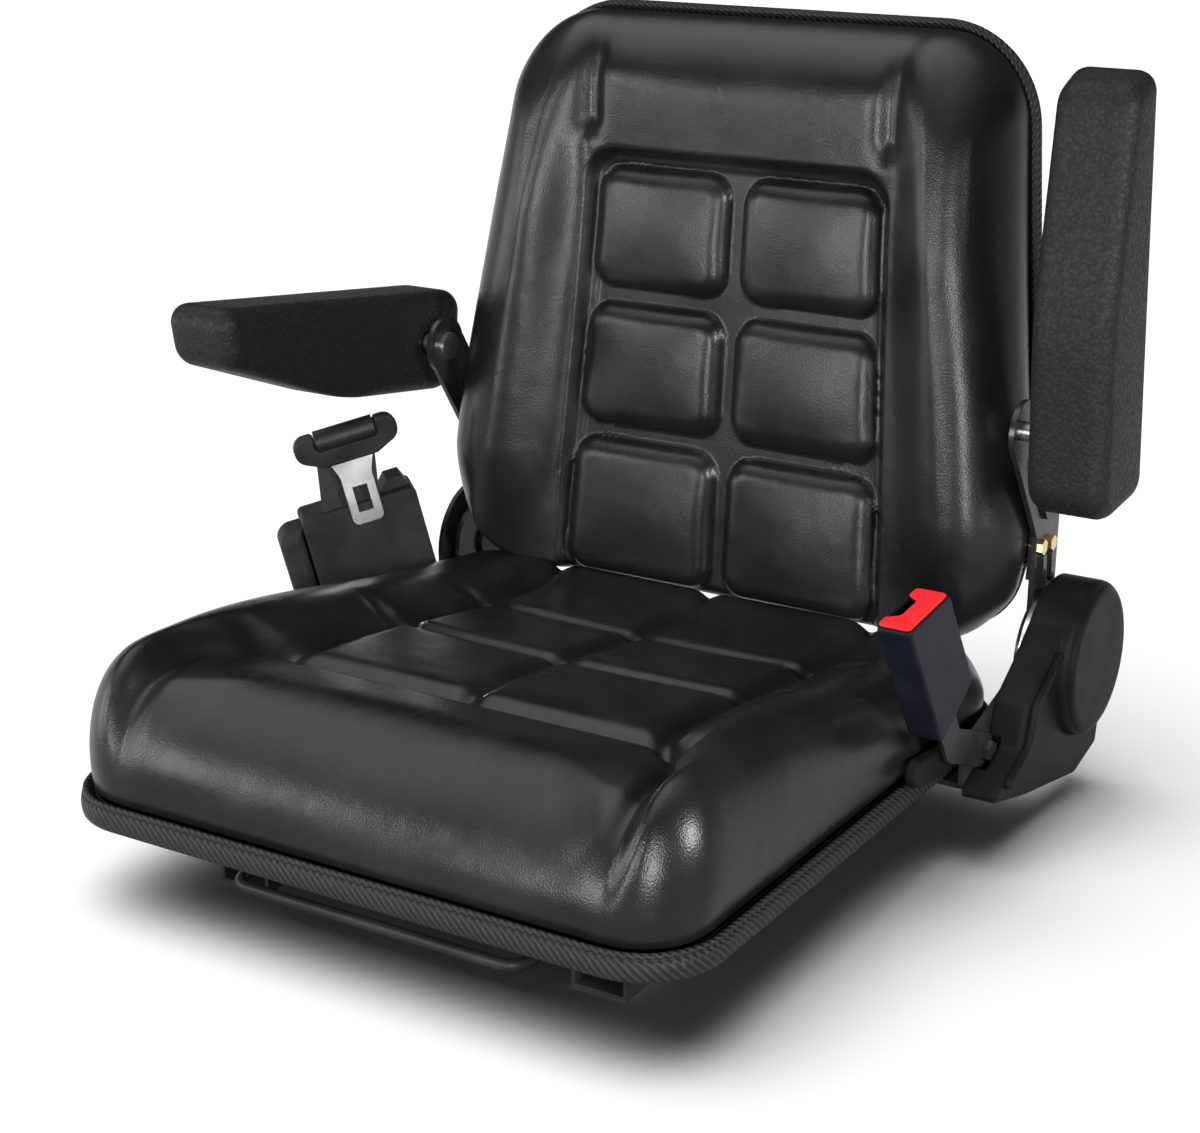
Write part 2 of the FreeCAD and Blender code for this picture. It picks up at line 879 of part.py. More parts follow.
def cushion_section(y, half, height, dish):
    bolster = S.bolster_width.number
    swell = S.bolster_swell.number
    crest = over_trim + height
    middle = crest - dish
    half_points = [
        (half, y, over_trim),
        (half + swell, y, over_trim + 0.25 * height),
        (half + 0.7 * swell, y, over_trim + 0.5 * height),
        (half - 0.2 * bolster, y, over_trim + 0.87 * height),
        (half - 0.85 * bolster, y, crest),
        (half - 1.9 * bolster, y, crest - 0.75 * dish),
        (half - 2.7 * bolster, y, middle),
        (0, y, middle),
    ]
    return closed_section(mirror_points(half_points))


def pressed_groove(points):
    """A round tool that presses a groove into the skin along the points that lie on it."""
    radius = S.groove_radius.number
    lift = FreeCAD.Vector(0, 0, radius - S.groove_depth.number)
    line = Part.BSplineCurve()
    line.interpolate([FreeCAD.Vector(*point) + lift for point in points])
    path = line.toShape()
    ring = Part.Wire(Part.makeCircle(radius, line.StartPoint, line.tangent(line.FirstParameter)[0]))
    return Part.Wire(path).makePipeShell([ring], True, True)


def seat_grooves():
    """The creases beside the bolsters, the line behind the thighs and the lines between the pads."""
    past_back = cushion_back + S.groove_radius.number
    ends = (thigh_line, S.pad_line_front.number, S.pad_line_rear.number, tail, past_back)
    crease = S.crease_half.number
    grooves = []
    for side in (-1, 1):
        on_slope = [(crease * side, y, over_trim + crest_at(y) - 0.78 * dish_at(y)) for y in ends]
        fading = (crease * side, knee, over_trim + crest_at(knee) + S.groove_depth.number)
        grooves.append(pressed_groove([fading] + on_slope))
    for y in ends[:3]:
        low = over_trim + crest_at(y) - dish_at(y)
        edge = over_trim + crest_at(y) - 0.78 * dish_at(y)
        right_half = [(-crease, y, edge), (-0.6 * crease, y, low)]
        left_half = [(0.6 * crease, y, low), (crease, y, edge)]
        grooves.append(pressed_groove(right_half + left_half))
    grooves.append(pressed_groove([(0, y, over_trim + crest_at(y) - dish_at(y)) for y in ends]))
    return grooves


def seat_cushion_shape():
    half = seat_half.number - S.trim_wall.number
    corner = S.seat_corner.number
    nose = S.cushion_nose.number
    sections = []
    for share in (0.0, 0.08, 0.25, 0.55, 1.0):
        y = cushion_front + share * nose
        narrowing = corner * (1 - math.sqrt(1 - (1 - min(share * nose / corner, 1)) ** 2))
        height = S.cushion_crest.number * rolled(share)
        sections.append(cushion_section(y, half - 0.8 * narrowing, height, S.thigh_dish.number * share))
    for y in (thigh_line, S.pad_line_front.number, S.pad_line_rear.number, tail):
        sections.append(cushion_section(y, half, crest_at(y), dish_at(y)))
    for share in (0.5, 0.15, 0.0):
        y = cushion_back - share * S.cushion_tail.number
        narrowing = 0.35 * corner * (1 - share) ** 2
        height = crest_at(y) * rolled(share)
        sections.append(cushion_section(y, half - narrowing, height, dish_at(y) * share))
    dome = Part.makeLoft(sections, True, False)
    low = pan_floor.number + S.soft_gap.number
    inset = trim_inside + S.soft_gap
    filling = plug(seat_outline(inset), [S.seat_corner - inset] * 4, over_trim - low)
    filling.translate(FreeCAD.Vector(0, 0, low))
    return dome.cut(seat_grooves()).fuse(filling).removeSplitter()


seat_cushion = keep(doc.addObject("Part::Feature", "seat_cushion"), "seat_cushion")
seat_cushion.Shape = seat_cushion_shape()

# Side brackets: folded plates under the pan that carry the recline pivots
pivot = (S.pivot_y, S.pivot_z)
bracket_out = S.bracket_face + S.bracket_plate
foot_low = S.pan_underside - S.bracket_plate
lever_pivot = (S.lever_pivot_y, S.lever_pivot_z)
anchor = (S.anchor_y, S.anchor_z)
carrier_bolts = [(S.carrier_bolt_y + S.carrier_bolt_spacing / 2 * end, S.carrier_bolt_z) for end in (-1, 1)]


def side_bracket(label, side):
    body = make_body(label)
    plate = between(side, S.bracket_face, bracket_out)
    eye = S.bracket_eye
    recliner_shoulder = (S.pivot_y - eye * 1.6, S.pivot_z)
    belt_shoulder = (S.pivot_y - eye * 1.1, S.pivot_z - eye * 0.4)
    outline = [
        (S.bracket_front, foot_low),
        (S.bracket_front, foot_low + eye * 0.66),
        recliner_shoulder if side > 0 else belt_shoulder,
        (S.pivot_y - eye * 0.7, S.pivot_z + eye * 0.7),
        (S.pivot_y + eye * 0.7, S.pivot_z + eye * 0.7),
        (S.pivot_y + eye * 0.8, S.pivot_z - eye * 0.9),
        (S.pivot_y, S.pivot_z - eye * 1.5),
        (S.pivot_y - eye * 1.8, foot_low - eye * 0.25),
    ]
    pad(body, "YZ", *plate, rounded(outline, eye * 0.2))
    pad(body, "YZ", *plate, circle(pivot, eye))
    foot = between(side, S.bracket_foot_inside, bracket_out)
    pad(body, "XY", foot_low, S.pan_underside,
        rectangle(foot[0], S.bracket_foot_front, foot[1], S.bracket_foot_back))
    left_holes = [circle(lever_pivot, S.lever_pin / 2), circle(anchor, bolt_room)]
    right_holes = [circle(yz, bolt_room) for yz in carrier_bolts]
    cut(body, "YZ", *plate, circle(pivot, S.pivot_diameter / 2), *(left_holes if side > 0 else right_holes))
    cut(body, "XY", foot_low, S.pan_underside,
        *[circle((x, y), bolt_room) for x, y in foot_bolts if x.number * side > 0])
    return body


mirrored_pair("left_side_bracket", "right_side_bracket", side_bracket)
group("bracket_bolts", [
    bolt(x, y, foot_low, UPRIGHT, S.bolt_diameter, S.bolt_head_width, S.bolt_head_height,
         pan_floor - foot_low)
    for x, y in foot_bolts
])

# Recline pivots: shouldered bolts through the back arms and the side brackets
arm_out = S.arm_face + S.arm_plate
sector_out = arm_out + S.sector_plate
pivot_head = S.bolt_head_height * 0.75
pivot_shank = S.pivot_diameter / 2 - S.fit_gap


def pivot_bolt(label, side, tail):
    """A round-headed pin from inside the back arm to beyond the bracket."""
    body = make_body(label)
    head = between(side, S.arm_face - pivot_head, S.arm_face)
    pad(body, "YZ", *head, circle(pivot, S.pivot_diameter * 0.8))
    pad(body, "YZ", *between(side, S.arm_face, tail), circle(pivot, pivot_shank))
    return body


spring_inside = bracket_out + S.running_gap * 5
pivot_bolt("recliner_pivot_bolt", 1, spring_inside + S.spring_width + S.cover_wall)
pivot_bolt("right_pivot_bolt", -1, bracket_out + S.bolt_head_height)

# Spacer: keeps the right back arm off its bracket, where the left one has the toothed sector
spacer = make_body("right_hinge_spacer")
pad(spacer, "YZ", -S.bracket_face, -arm_out - S.running_gap,
    circle(pivot, S.pivot_diameter * 0.8), circle(pivot, S.pivot_diameter / 2))


def sweep(label, section, path):
    """A wire or strip of one section, wound along a path without a break."""
    path.SegmentLength = 0
    swept = doc.addObject("Part::Sweep", label)
    swept.Sections = [section]
    swept.Spine = (path, ["Edge1"])
    swept.Solid = True
    swept.Frenet = True
    return keep(swept, label)


# Spiral spring: flat strip wound from the left pivot bolt under the cover, it brings the back forward
spiral = doc.addObject("Part::Spiral", "SpiralPath")
bind(spiral, "Radius", pivot_shank)
bind(spiral, "Growth", S.spring_growth)
bind(spiral, "Rotations", S.spring_turns)
strip_section = doc.addObject("Part::Plane", "StripSection")
bind(strip_section, "Length", S.spring_strip)
bind(strip_section, "Width", S.spring_width)
strip_section.Placement = FreeCAD.Placement(FreeCAD.Vector(), FreeCAD.Rotation(FreeCAD.Vector(1, 0, 0), 90))
bind(strip_section, "Placement.Base.x", pivot_shank)
place(sweep("recliner_spring", strip_section, spiral), spring_inside, S.pivot_y, S.pivot_z, TO_X)

# Recliner cover: one moulding, a round cap over the spring and a skirt down the bracket
cover = make_body("recliner_cover")
cap_radius = S.cap_diameter / 2


def around_cap(*shares):
    """Points about the recline pivot, each given in cap radii along Y and Z."""
    return [(S.pivot_y + cap_radius * y, S.pivot_z + cap_radius * z) for y, z in shares]


skirt = around_cap((-1.85, -0.05), (-2.0, -0.55), (-2.9, -0.95), (-1.75, -1.25),
                   (-0.05, -1.58), (0.66, -1.4), (0.9, -0.3), (-0.5, 0.8))
skirt_hollow = around_cap((-1.75, -0.07), (-1.92, -0.63), (-2.69, -0.95), (-1.74, -1.19),
                          (-0.05, -1.52), (0.61, -1.35), (0.83, -0.31), (-0.5, 0.72))
pad(cover, "YZ", bracket_out, S.skirt_face, rounded(skirt, S.cap_rounding / 2))
round_edges(cover, S.cover_wall, rim_at("YZ", S.skirt_face))
pad(cover, "YZ", bracket_out, S.cap_face, circle(pivot, cap_radius))
round_edges(cover, S.cap_rounding, rim_at("YZ", S.cap_face))
cut(cover, "YZ", bracket_out, S.cap_face - S.cover_wall, circle(pivot, cap_radius - S.cover_wall))
cut(cover, "YZ", bracket_out, S.skirt_face - S.cover_wall, polygon(*skirt_hollow))

# Backrest frame: everything on the back is drawn upright from the pivot, then leaned
LEAN = FreeCAD.Rotation(FreeCAD.Vector(-1, 0, 0), S.back_lean.number)


def on_backrest(piece):
    return place(piece, 0, S.pivot_y, S.pivot_z, LEAN)


def from_backrest(y, z):
    """A point of the leaning back, in the seat's own frame."""
    return (S.pivot_y + y * cosine(S.back_lean) + z * sine(S.back_lean),
            S.pivot_z - y * sine(S.back_lean) + z * cosine(S.back_lean))


def back_outline(inset):
    """The back's outline: narrow at the bottom, widest above the hinge, tapered to the top."""
    return [
        (S.back_half_bottom - inset, S.back_bottom + inset),
        (S.back_half_widest - inset, S.back_widest),
        (S.back_half_top - inset, S.back_top - inset),
        (inset - S.back_half_top, S.back_top - inset),
        (inset - S.back_half_widest, S.back_widest),
        (inset - S.back_half_bottom, S.back_bottom + inset),
    ]


def back_corners(inset):
    bottom = S.back_corner_bottom - inset
    side = S.back_corner_side - inset
    top = S.back_corner_top - inset
    return [bottom, side, top, top, side, bottom]


def rounded_back(inset):
    return rounded(back_outline(inset), back_corners(inset))


# Rear shell: a pressed tray, open to the front, that carries the back cushion
shell = on_backrest(make_body("backrest_shell"))
shell_floor = S.shell_rear - S.shell_sheet
shell_rim = S.shell_rear - S.shell_depth
pad(shell, "XZ", shell_rim, S.shell_rear, rounded_back(as_size(0)))
cut(shell, "XZ", shell_rim, shell_floor, rounded_back(S.shell_sheet))

# Back edge trim: the same strip as on the seat, pushed over the shell's rim
back_trim = on_backrest(make_body("backrest_edge_trim"))
back_trim_front = shell_rim - S.trim_cover
back_trim_rear = back_trim_front + S.back_trim_height
pad(back_trim, "XZ", back_trim_front, back_trim_rear,
    rounded_back(-S.back_trim_wall), rounded_back(S.shell_sheet + S.trim_lip))
cut(back_trim, "XZ", shell_rim - S.fit_gap, back_trim_rear,
    rounded_back(-S.fit_gap), rounded_back(S.shell_sheet + S.fit_gap))

# Back cushion: moulded foam with side bolsters, a plain head roll and six pads in a shallow recess
over_back_trim = back_trim_front.number - S.soft_gap.number
cushion_low = S.back_bottom.number - S.back_overhang.number


def back_half_at(z):
    """Half the cushion's width at a height up the back, rounded in at both ends."""
    widest = S.back_widest.number
    top = S.back_top.number
    if z < widest:
        share = (z - cushion_low) / (widest - cushion_low)
        half = ease(S.back_half_bottom.number, S.back_half_widest.number, share)
    else:
        share = (z - widest) / (top - widest)
        half = S.back_half_widest.number + (S.back_half_top.number - S.back_half_widest.number) * share
    corners = ((S.back_corner_top.number, top - z), (S.back_corner_bottom.number, z - cushion_low))
    for corner, room in corners:
        past = max(corner - room, 0) / corner
        half -= 0.8 * corner * (1 - math.sqrt(1 - past * past))
    return half


def back_section(z, rise, depth):
    half = back_half_at(z)
    bolster = S.bolster_width.number
    swell = S.bolster_swell.number * 1.5
    panel = ease(over_back_trim, -S.panel_front.number, depth)
    crest = panel - rise
    half_points = [
        (half - 0.04 * bolster, over_back_trim, z),
        (half + swell * depth, over_back_trim + 0.35 * (crest - over_back_trim), z),
        (half + 0.7 * swell * depth, over_back_trim + 0.55 * (crest - over_back_trim), z),
        (half - 0.25 * bolster, over_back_trim + 0.87 * (crest - over_back_trim), z),
        (half - 0.85 * bolster, crest, z),
        (half - 1.5 * bolster, panel - 0.45 * rise, z),
        (half - 2.05 * bolster, panel, z),
        (0, panel, z),
    ]
    return closed_section(mirror_points(half_points))


def raised_block(points, radii, foot, face):
    """A block on the panel, from its foot to its face, both measured forward from the pivot."""
    block = plug(points, radii, face - foot)
    block.rotate(FreeCAD.Vector(0, 0, 0), FreeCAD.Vector(1, 0, 0), 90)
    block.translate(FreeCAD.Vector(0, -foot, 0))
    return block


def recess_half_at(z):
    share = z / S.recess_top.number
    return S.recess_half_bottom.number + (S.recess_half_top.number - S.recess_half_bottom.number) * share


def back_pads():
    """Two columns of three pads, with soft edges, standing on the floor of the recess."""
    floor = S.panel_front.number - S.recess_depth.number
    face = floor + S.pad_rise.number
    gap = S.pad_gap.number
    lowest = S.back_bottom.number
    height = (S.recess_top.number - lowest) / 3
    pads = []
    for row in range(3):
        low = lowest + row * height
        high = low + height - gap
        outline = [
            (gap / 2, low),
            (recess_half_at(low) - S.pad_margin.number, low),
            (recess_half_at(high) - S.pad_margin.number, high),
            (gap / 2, high),
        ]
        block = raised_block(outline, [S.pad_corner] * 4, floor - S.recess_depth.number / 2, face)
        rim = [edge for edge in block.Edges if abs(edge.CenterOfMass.y + face) < S.fit_gap.number]
        soft = block.makeFillet(S.pad_rounding.number, rim)
        pads += [soft, soft.mirror(FreeCAD.Vector(0, 0, 0), FreeCAD.Vector(1, 0, 0))]
    return pads


def back_recess():
    """What is pressed out of the panel round the pads, open at the bottom edge."""
    floor = S.panel_front.number - S.recess_depth.number
    reach = floor + 2 * S.bolster_rise.number + S.recess_depth.number
    top = S.recess_top.number
    bottom_half = recess_half_at(cushion_low)
    top_half = recess_half_at(top)
    outline = [(-bottom_half, -top), (bottom_half, -top), (top_half, top), (-top_half, top)]
    corners = [S.fit_gap, S.fit_gap, S.recess_corner, S.recess_corner]
    return raised_block(outline, corners, floor, reach)


def back_cushion_shape():
    top = S.back_top.number
    rise = S.bolster_rise.number
    corner = S.back_corner_top.number
    widest = S.back_widest.number
    overhang = S.back_overhang.number
    stations = [
        (cushion_low, 0.0, 0.62),
        (cushion_low + 0.4 * overhang, 0.1, 0.8),
        (cushion_low + 1.6 * overhang, 0.35, 1.0),
        (0.6 * widest, 0.9, 1.0),
        (widest, 1.0, 1.0),
        (widest + 0.35 * (top - widest), 1.0, 1.0),
        (widest + 0.7 * (top - widest), 0.75, 1.0),
        (top - 0.5 * corner, 0.45, 0.93),
        (top - 0.15 * corner, 0.2, 0.72),
        (top, 0.0, 0.4),
    ]
    dome = Part.makeLoft([back_section(z, rise * share, depth) for z, share, depth in stations], True, False)
    inset = S.shell_sheet + S.trim_lip + S.soft_gap
    rear = shell_floor.number - S.soft_gap.number
    filling = raised_block(back_outline(inset), back_corners(inset), -rear, -over_back_trim)
    return dome.cut(back_recess()).fuse(back_pads() + [filling]).removeSplitter()


back_cushion = keep(doc.addObject("Part::Feature", "backrest_cushion"), "backrest_cushion")
back_cushion.Shape = back_cushion_shape()
on_backrest(back_cushion)

# Hinge lugs: angle plates bolted to the rear of the shell, one leg inside each back arm
arm_screws = [(S.arm_screw_y - S.arm_screw_spacing * step, S.arm_screw_z) for step in (0, 1)]
lug_low = S.arm_screw_z - S.lug_height / 2
lug_high = S.arm_screw_z + S.lug_height / 2
lug_side = S.arm_face - S.lug_sheet
lug_rear = S.shell_rear + S.lug_sheet
screw_room = S.arm_screw / 2 + S.fit_gap
lug_bolts = [
    (S.lug_bolt_x * side, S.arm_screw_z + S.lug_bolt_spacing / 2 * end)
    for side in (-1, 1)
    for end in (-1, 1)
]
cut(shell, "XZ", shell_floor, S.shell_rear, *[circle(xz, bolt_room) for xz in lug_bolts])


def hinge_lug(label, side):
    body = on_backrest(make_body(label))
    plan = [
        (S.lug_inside, S.shell_rear),
        (lug_side, S.shell_rear),
        (lug_side, S.shell_rear - S.lug_reach - S.lug_sheet),
        (S.arm_face, S.shell_rear - S.lug_reach - S.lug_sheet),
        (S.arm_face, lug_rear),
        (S.lug_inside, lug_rear),
    ]
    pad(body, "XY", lug_low, lug_high, polygon(*[(x * side, y) for x, y in plan]))
    cut(body, "YZ", *between(side, lug_side, S.arm_face), *[circle(yz, screw_room) for yz in arm_screws])
    own_bolts = [xz for xz in lug_bolts if xz[0].number * side > 0]
    cut(body, "XZ", S.shell_rear, lug_rear, *[circle(xz, bolt_room) for xz in own_bolts])
    return body


mirrored_pair("left_back_lug", "right_back_lug", hinge_lug)
FORWARD = LEAN.multiply(FreeCAD.Rotation(FreeCAD.Vector(1, 0, 0), 90))
group("back_lug_bolts", [
    bolt(x, *from_backrest(lug_rear, z), FORWARD, S.bolt_diameter, S.bolt_head_width, S.bolt_head_height,
         S.lug_sheet + S.shell_sheet)
    for x, z in lug_bolts
])

# Back arms: pressed plates with two stiffening ribs, from the recliner up to the armrest pivot
armrest_pivot = (S.armrest_pivot_y, S.armrest_pivot_z)
arm_knee = (S.arm_knee_y, S.arm_knee_z)


def back_arm(label, side):
    body = on_backrest(make_body(label))
    plate = between(side, S.arm_face, arm_out)
    rib = between(side, arm_out, arm_out + S.rib_height)
    centre = (as_size(0), as_size(0))
    pad(body, "YZ", *plate, slot(centre, arm_knee, S.arm_half_width))
    pad(body, "YZ", *plate, slot(arm_knee, armrest_pivot, S.arm_half_width))
    pad(body, "YZ", *plate, circle(centre, S.arm_eye))
    pad(body, "YZ", *plate, circle(armrest_pivot, S.armrest_eye))
    rib_low = S.sector_root + S.tooth_height + S.rib_width
    for offset in (-1, 1):
        start = (S.arm_knee_y / 2 + S.rib_spacing / 2 * offset, rib_low)
        end = (S.arm_knee_y + S.rib_spacing / 2 * offset, S.arm_screw_z - S.rib_width * 1.5)
        pad(body, "YZ", *rib, slot(start, end, S.rib_width / 2))
    upper_rib = [
        (S.arm_knee_y + (S.armrest_pivot_y - S.arm_knee_y) * share,
         S.arm_knee_z + (S.armrest_pivot_z - S.arm_knee_z) * share)
        for share in (0.12, 0.62)
    ]
    pad(body, "YZ", *rib, slot(*upper_rib, S.rib_width))
    holes = [circle(centre, S.pivot_diameter / 2), circle(armrest_pivot, S.armrest_pin / 2)]
    cut(body, "YZ", *plate, *holes, *[circle(yz, screw_room) for yz in arm_screws])
    return body


mirrored_pair("left_back_arm", "right_back_arm", back_arm)

# Arm screws: yellow zinc hexagon screws, two through each arm into its lug
screw_head = S.arm_screw * 1.7


def arm_screw(side, y, z):
    head = hexagon(screw_head, S.arm_screw * 0.7)
    shank = cylinder(S.arm_screw / 2, S.arm_plate + S.lug_sheet)
    bind(shank, "Placement.Base.z", -(S.arm_plate + S.lug_sheet))
    whole = doc.addObject("Part::Fuse", "ArmScrew")
    whole.Base = head
    whole.Tool = shank
    turned = TO_X if side > 0 else TO_MINUS_X
    world_y, world_z = from_backrest(y, z)
    return place(whole, arm_out * side, world_y, world_z, LEAN.multiply(turned))


group("back_arm_screws", [arm_screw(side, y, z) for side in (-1, 1) for y, z in arm_screws])

# Toothed sector: bolted to the outside of the left arm, its teeth face the lever's pawl
sector = on_backrest(make_body("recliner_sector"))
pad(sector, "YZ", arm_out, sector_out, circle((0, 0), S.sector_root))
tooth_tip = S.sector_root + S.tooth_height
tooth_foot = S.sector_root - S.tooth_height / 3
for step in range(round(S.tooth_count.number)):
    middle = S.pawl_angle + S.back_lean + S.tooth_step * (step - 2)
    tooth = []
    for turn, radius in ((-0.42, tooth_foot), (-0.15, tooth_tip), (0.15, tooth_tip), (0.42, tooth_foot)):
        angle = middle + S.tooth_step * turn
        tooth.append((radius * cosine(angle), radius * sine(angle)))
    pad(sector, "YZ", arm_out, sector_out, polygon(*tooth))
cut(sector, "YZ", arm_out, sector_out, circle((0, 0), S.pivot_diameter / 2))

# Recline lever: a flat lever on a pin in the bracket, with a pawl that faces the sector
lever_in = arm_out + (S.sector_plate - S.lever_plate) / 2
lever_out = lever_in + S.lever_plate
lever_tip = (S.lever_tip_y, S.lever_tip_z)
pawl_radius = tooth_tip + S.pawl_gap + S.pawl_half_width
pawl = (S.pivot_y + pawl_radius * cosine(S.pawl_angle), S.pivot_z + pawl_radius * sine(S.pawl_angle))
lever = make_body("recline_lever")
pad(lever, "YZ", lever_in, lever_out, slot(lever_tip, lever_pivot, S.lever_half_width))
pad(lever, "YZ", lever_in, lever_out, circle(lever_pivot, S.lever_eye))
pad(lever, "YZ", lever_in, lever_out, slot(lever_pivot, pawl, S.pawl_half_width))
cut(lever, "YZ", lever_in, lever_out, circle(lever_pivot, S.lever_pin / 2))

lever_pin = make_body("recline_lever_pin")
pad(lever_pin, "YZ", lever_in - S.lever_plate / 2, bracket_out,
    circle(lever_pivot, S.lever_pin / 2 - S.fit_gap))

# Lever grip: a moulded sleeve pushed on the front end of the lever
grip = make_body("recline_lever_grip")
lever_run = root((S.lever_tip_y - S.lever_pivot_y) * (S.lever_tip_y - S.lever_pivot_y)
                 + (S.lever_tip_z - S.lever_pivot_z) * (S.lever_tip_z - S.lever_pivot_z))
grip_back = (
    S.lever_tip_y + (S.lever_pivot_y - S.lever_tip_y) * S.grip_length / lever_run,
    S.lever_tip_z + (S.lever_pivot_z - S.lever_tip_z) * S.grip_length / lever_run,
)
grip_half = S.lever_half_width + S.grip_wall
pad(grip, "YZ", lever_in - S.grip_wall, lever_out + S.grip_wall, slot(lever_tip, grip_back, grip_half))
round_edges(grip, S.grip_wall * 0.9, rim_at("YZ", lever_out + S.grip_wall))
round_edges(grip, S.grip_wall * 0.9, rim_at("YZ", lever_in - S.grip_wall))
cut(grip, "YZ", lever_in, lever_out, slot(lever_tip, lever_pivot, S.lever_half_width))

# Armrests: moulded pads, flat on top and deep below, each on a bush round its pivot pin
armrest_out = S.armrest_inside + S.armrest_width
armrest_tip = S.armrest_behind - S.armrest_length
armrest_low = S.armrest_above - S.armrest_depth
armrest_pivot_at = from_backrest(*armrest_pivot)
bush_out = S.armrest_inside + S.bush_length
bush_radius = S.armrest_pin / 2 + S.bush_wall


def armrest(side_name, side, raised):
    turned = FreeCAD.Rotation(FreeCAD.Vector(-1, 0, 0), raised.number)
    body = make_body(f"{side_name}_armrest_pad")
    outline = [
        (S.armrest_behind, S.armrest_above),
        (S.armrest_behind, armrest_low + S.armrest_depth * 0.3),
        (S.armrest_behind * 0.3, armrest_low),
        (armrest_tip * 0.38, armrest_low + S.armrest_depth * 0.04),
        (armrest_tip + S.armrest_tip_slant, S.armrest_above - S.armrest_tip_depth),
        (armrest_tip, S.armrest_above),
    ]
    tip_rounding = S.armrest_width * 0.2
    end_rounding = S.armrest_width * 0.3
    heel_rounding = S.armrest_length * 0.12
    belly_rounding = S.armrest_length * 0.8
    rounding = [end_rounding, end_rounding, heel_rounding, belly_rounding, end_rounding, tip_rounding]
    pad(body, "YZ", *between(side, S.armrest_inside, armrest_out), rounded(outline, rounding))
    for face in (S.armrest_inside * side, armrest_out * side):
        round_edges(body, S.armrest_rounding, rim_at("YZ", face))
    cut(body, "YZ", *between(side, S.armrest_inside, bush_out), circle((0, 0), bush_radius))
    bush = make_body(f"{side_name}_armrest_bush")
    pad(bush, "YZ", *between(side, S.armrest_inside, bush_out),
        circle((0, 0), bush_radius), circle((0, 0), S.armrest_pin / 2))
    pin = make_body(f"{side_name}_armrest_pin")
    pad(pin, "YZ", *between(side, S.arm_face - pivot_head, S.arm_face), circle((0, 0), S.armrest_pin * 0.75))
    pad(pin, "YZ", *between(side, S.arm_face, bush_out - S.fit_gap),
        circle((0, 0), S.armrest_pin / 2 - S.fit_gap))
    for piece in (body, bush, pin):
        place(piece, 0, *armrest_pivot_at, turned)


armrest("left", 1, S.armrest_raised)
armrest("right", -1, S.armrest_low)

# Buckle anchor: a bent steel strap bolted to the left bracket, it runs up into the buckle
strap_out = bracket_out + S.strap_sheet
strap_bend = (S.strap_bend_y, S.strap_bend_z)
strap_top = (S.buckle_y - S.buckle_rear * 0.35 * sine(S.buckle_lean),
             S.buckle_z + S.buckle_rear * 0.35 * cosine(S.buckle_lean))
strap = make_body("buckle_anchor_strap")
pad(strap, "YZ", bracket_out, strap_out, slot(anchor, strap_bend, S.strap_half_width))
pad(strap, "YZ", bracket_out, strap_out, slot(strap_bend, strap_top, S.strap_half_width))
cut(strap, "YZ", bracket_out, strap_out, circle(anchor, bolt_room))
cut(cover, "YZ", bracket_out, strap_out + S.bolt_head_height + S.running_gap * 2,
    slot(anchor, strap_bend, S.strap_half_width + S.running_gap * 5))
keep(bolt(strap_out, *anchor, TO_MINUS_X, S.bolt_diameter, S.bolt_head_width, S.bolt_head_height,
          S.strap_sheet + S.bracket_plate), "buckle_anchor_bolt")

# Buckle: a moulded case with a slanted top, the red button and the slot for the tongue
BUCKLE_LEAN = FreeCAD.Rotation(FreeCAD.Vector(1, 0, 0), S.buckle_lean.number)
buckle_middle = bracket_out + S.strap_sheet / 2
case_half = S.buckle_width / 2
case_thick = S.buckle_thickness / 2
top_slope = (S.buckle_front - S.buckle_rear) / S.buckle_width
button_half = S.button_length / 2 + case_half * 0.3


def top_at(y):
    """Height of the slanted top above the buckle's base."""
    return S.buckle_rear + (case_half - y) * top_slope


def on_buckle(piece):
    return place(piece, buckle_middle, S.buckle_y, S.buckle_z, BUCKLE_LEAN)


case = on_buckle(make_body("buckle_case"))
case_outline = [
    (-case_half, 0),
    (case_half, 0),
    (case_half, top_at(case_half)),
    (-case_half, top_at(-case_half)),
]
pad(case, "YZ", -case_thick, case_thick, rounded(case_outline, S.buckle_wall * 1.6))
for face in (-case_thick, case_thick):
    round_edges(case, S.buckle_wall * 0.8, rim_at("YZ", face))
button_out = case_thick - S.buckle_wall
button_in = button_out - S.button_thickness
button_low = S.buckle_rear - S.button_length
well_low = button_low - S.button_travel - S.running_gap
cut(case, "YZ", button_in - S.running_gap, button_out + S.running_gap, polygon(
    (-button_half - S.running_gap, well_low),
    (button_half + S.running_gap, well_low),
    (button_half + S.running_gap, S.buckle_front + S.button_travel),
    (-button_half - S.running_gap, S.buckle_front + S.button_travel),
))
slot_out = button_in - S.buckle_wall
slot_in = slot_out - S.tongue_slot
slot_half = S.tongue_plate_width / 2 + S.running_gap * 2
cut(case, "YZ", slot_in, slot_out, polygon(
    (-slot_half, S.buckle_rear - S.tongue_slot_depth),
    (slot_half, S.buckle_rear - S.tongue_slot_depth),
    (slot_half, S.buckle_front + S.button_travel),
    (-slot_half, S.buckle_front + S.button_travel),
))
strap_room = S.strap_half_width + S.running_gap
cut(case, "YZ", -S.strap_sheet / 2 - S.fit_gap, S.strap_sheet / 2 + S.fit_gap,
    slot((as_size(0), -S.strap_half_width), (as_size(0), S.buckle_rear * 0.35), strap_room))

button = on_buckle(make_body("buckle_button"))
button_outline = [
    (-button_half, button_low),
    (button_half, button_low),
    (button_half, top_at(button_half) + S.button_proud),
    (-button_half, top_at(-button_half) + S.button_proud),
]
pad(button, "YZ", button_in, button_out, polygon(*button_outline))

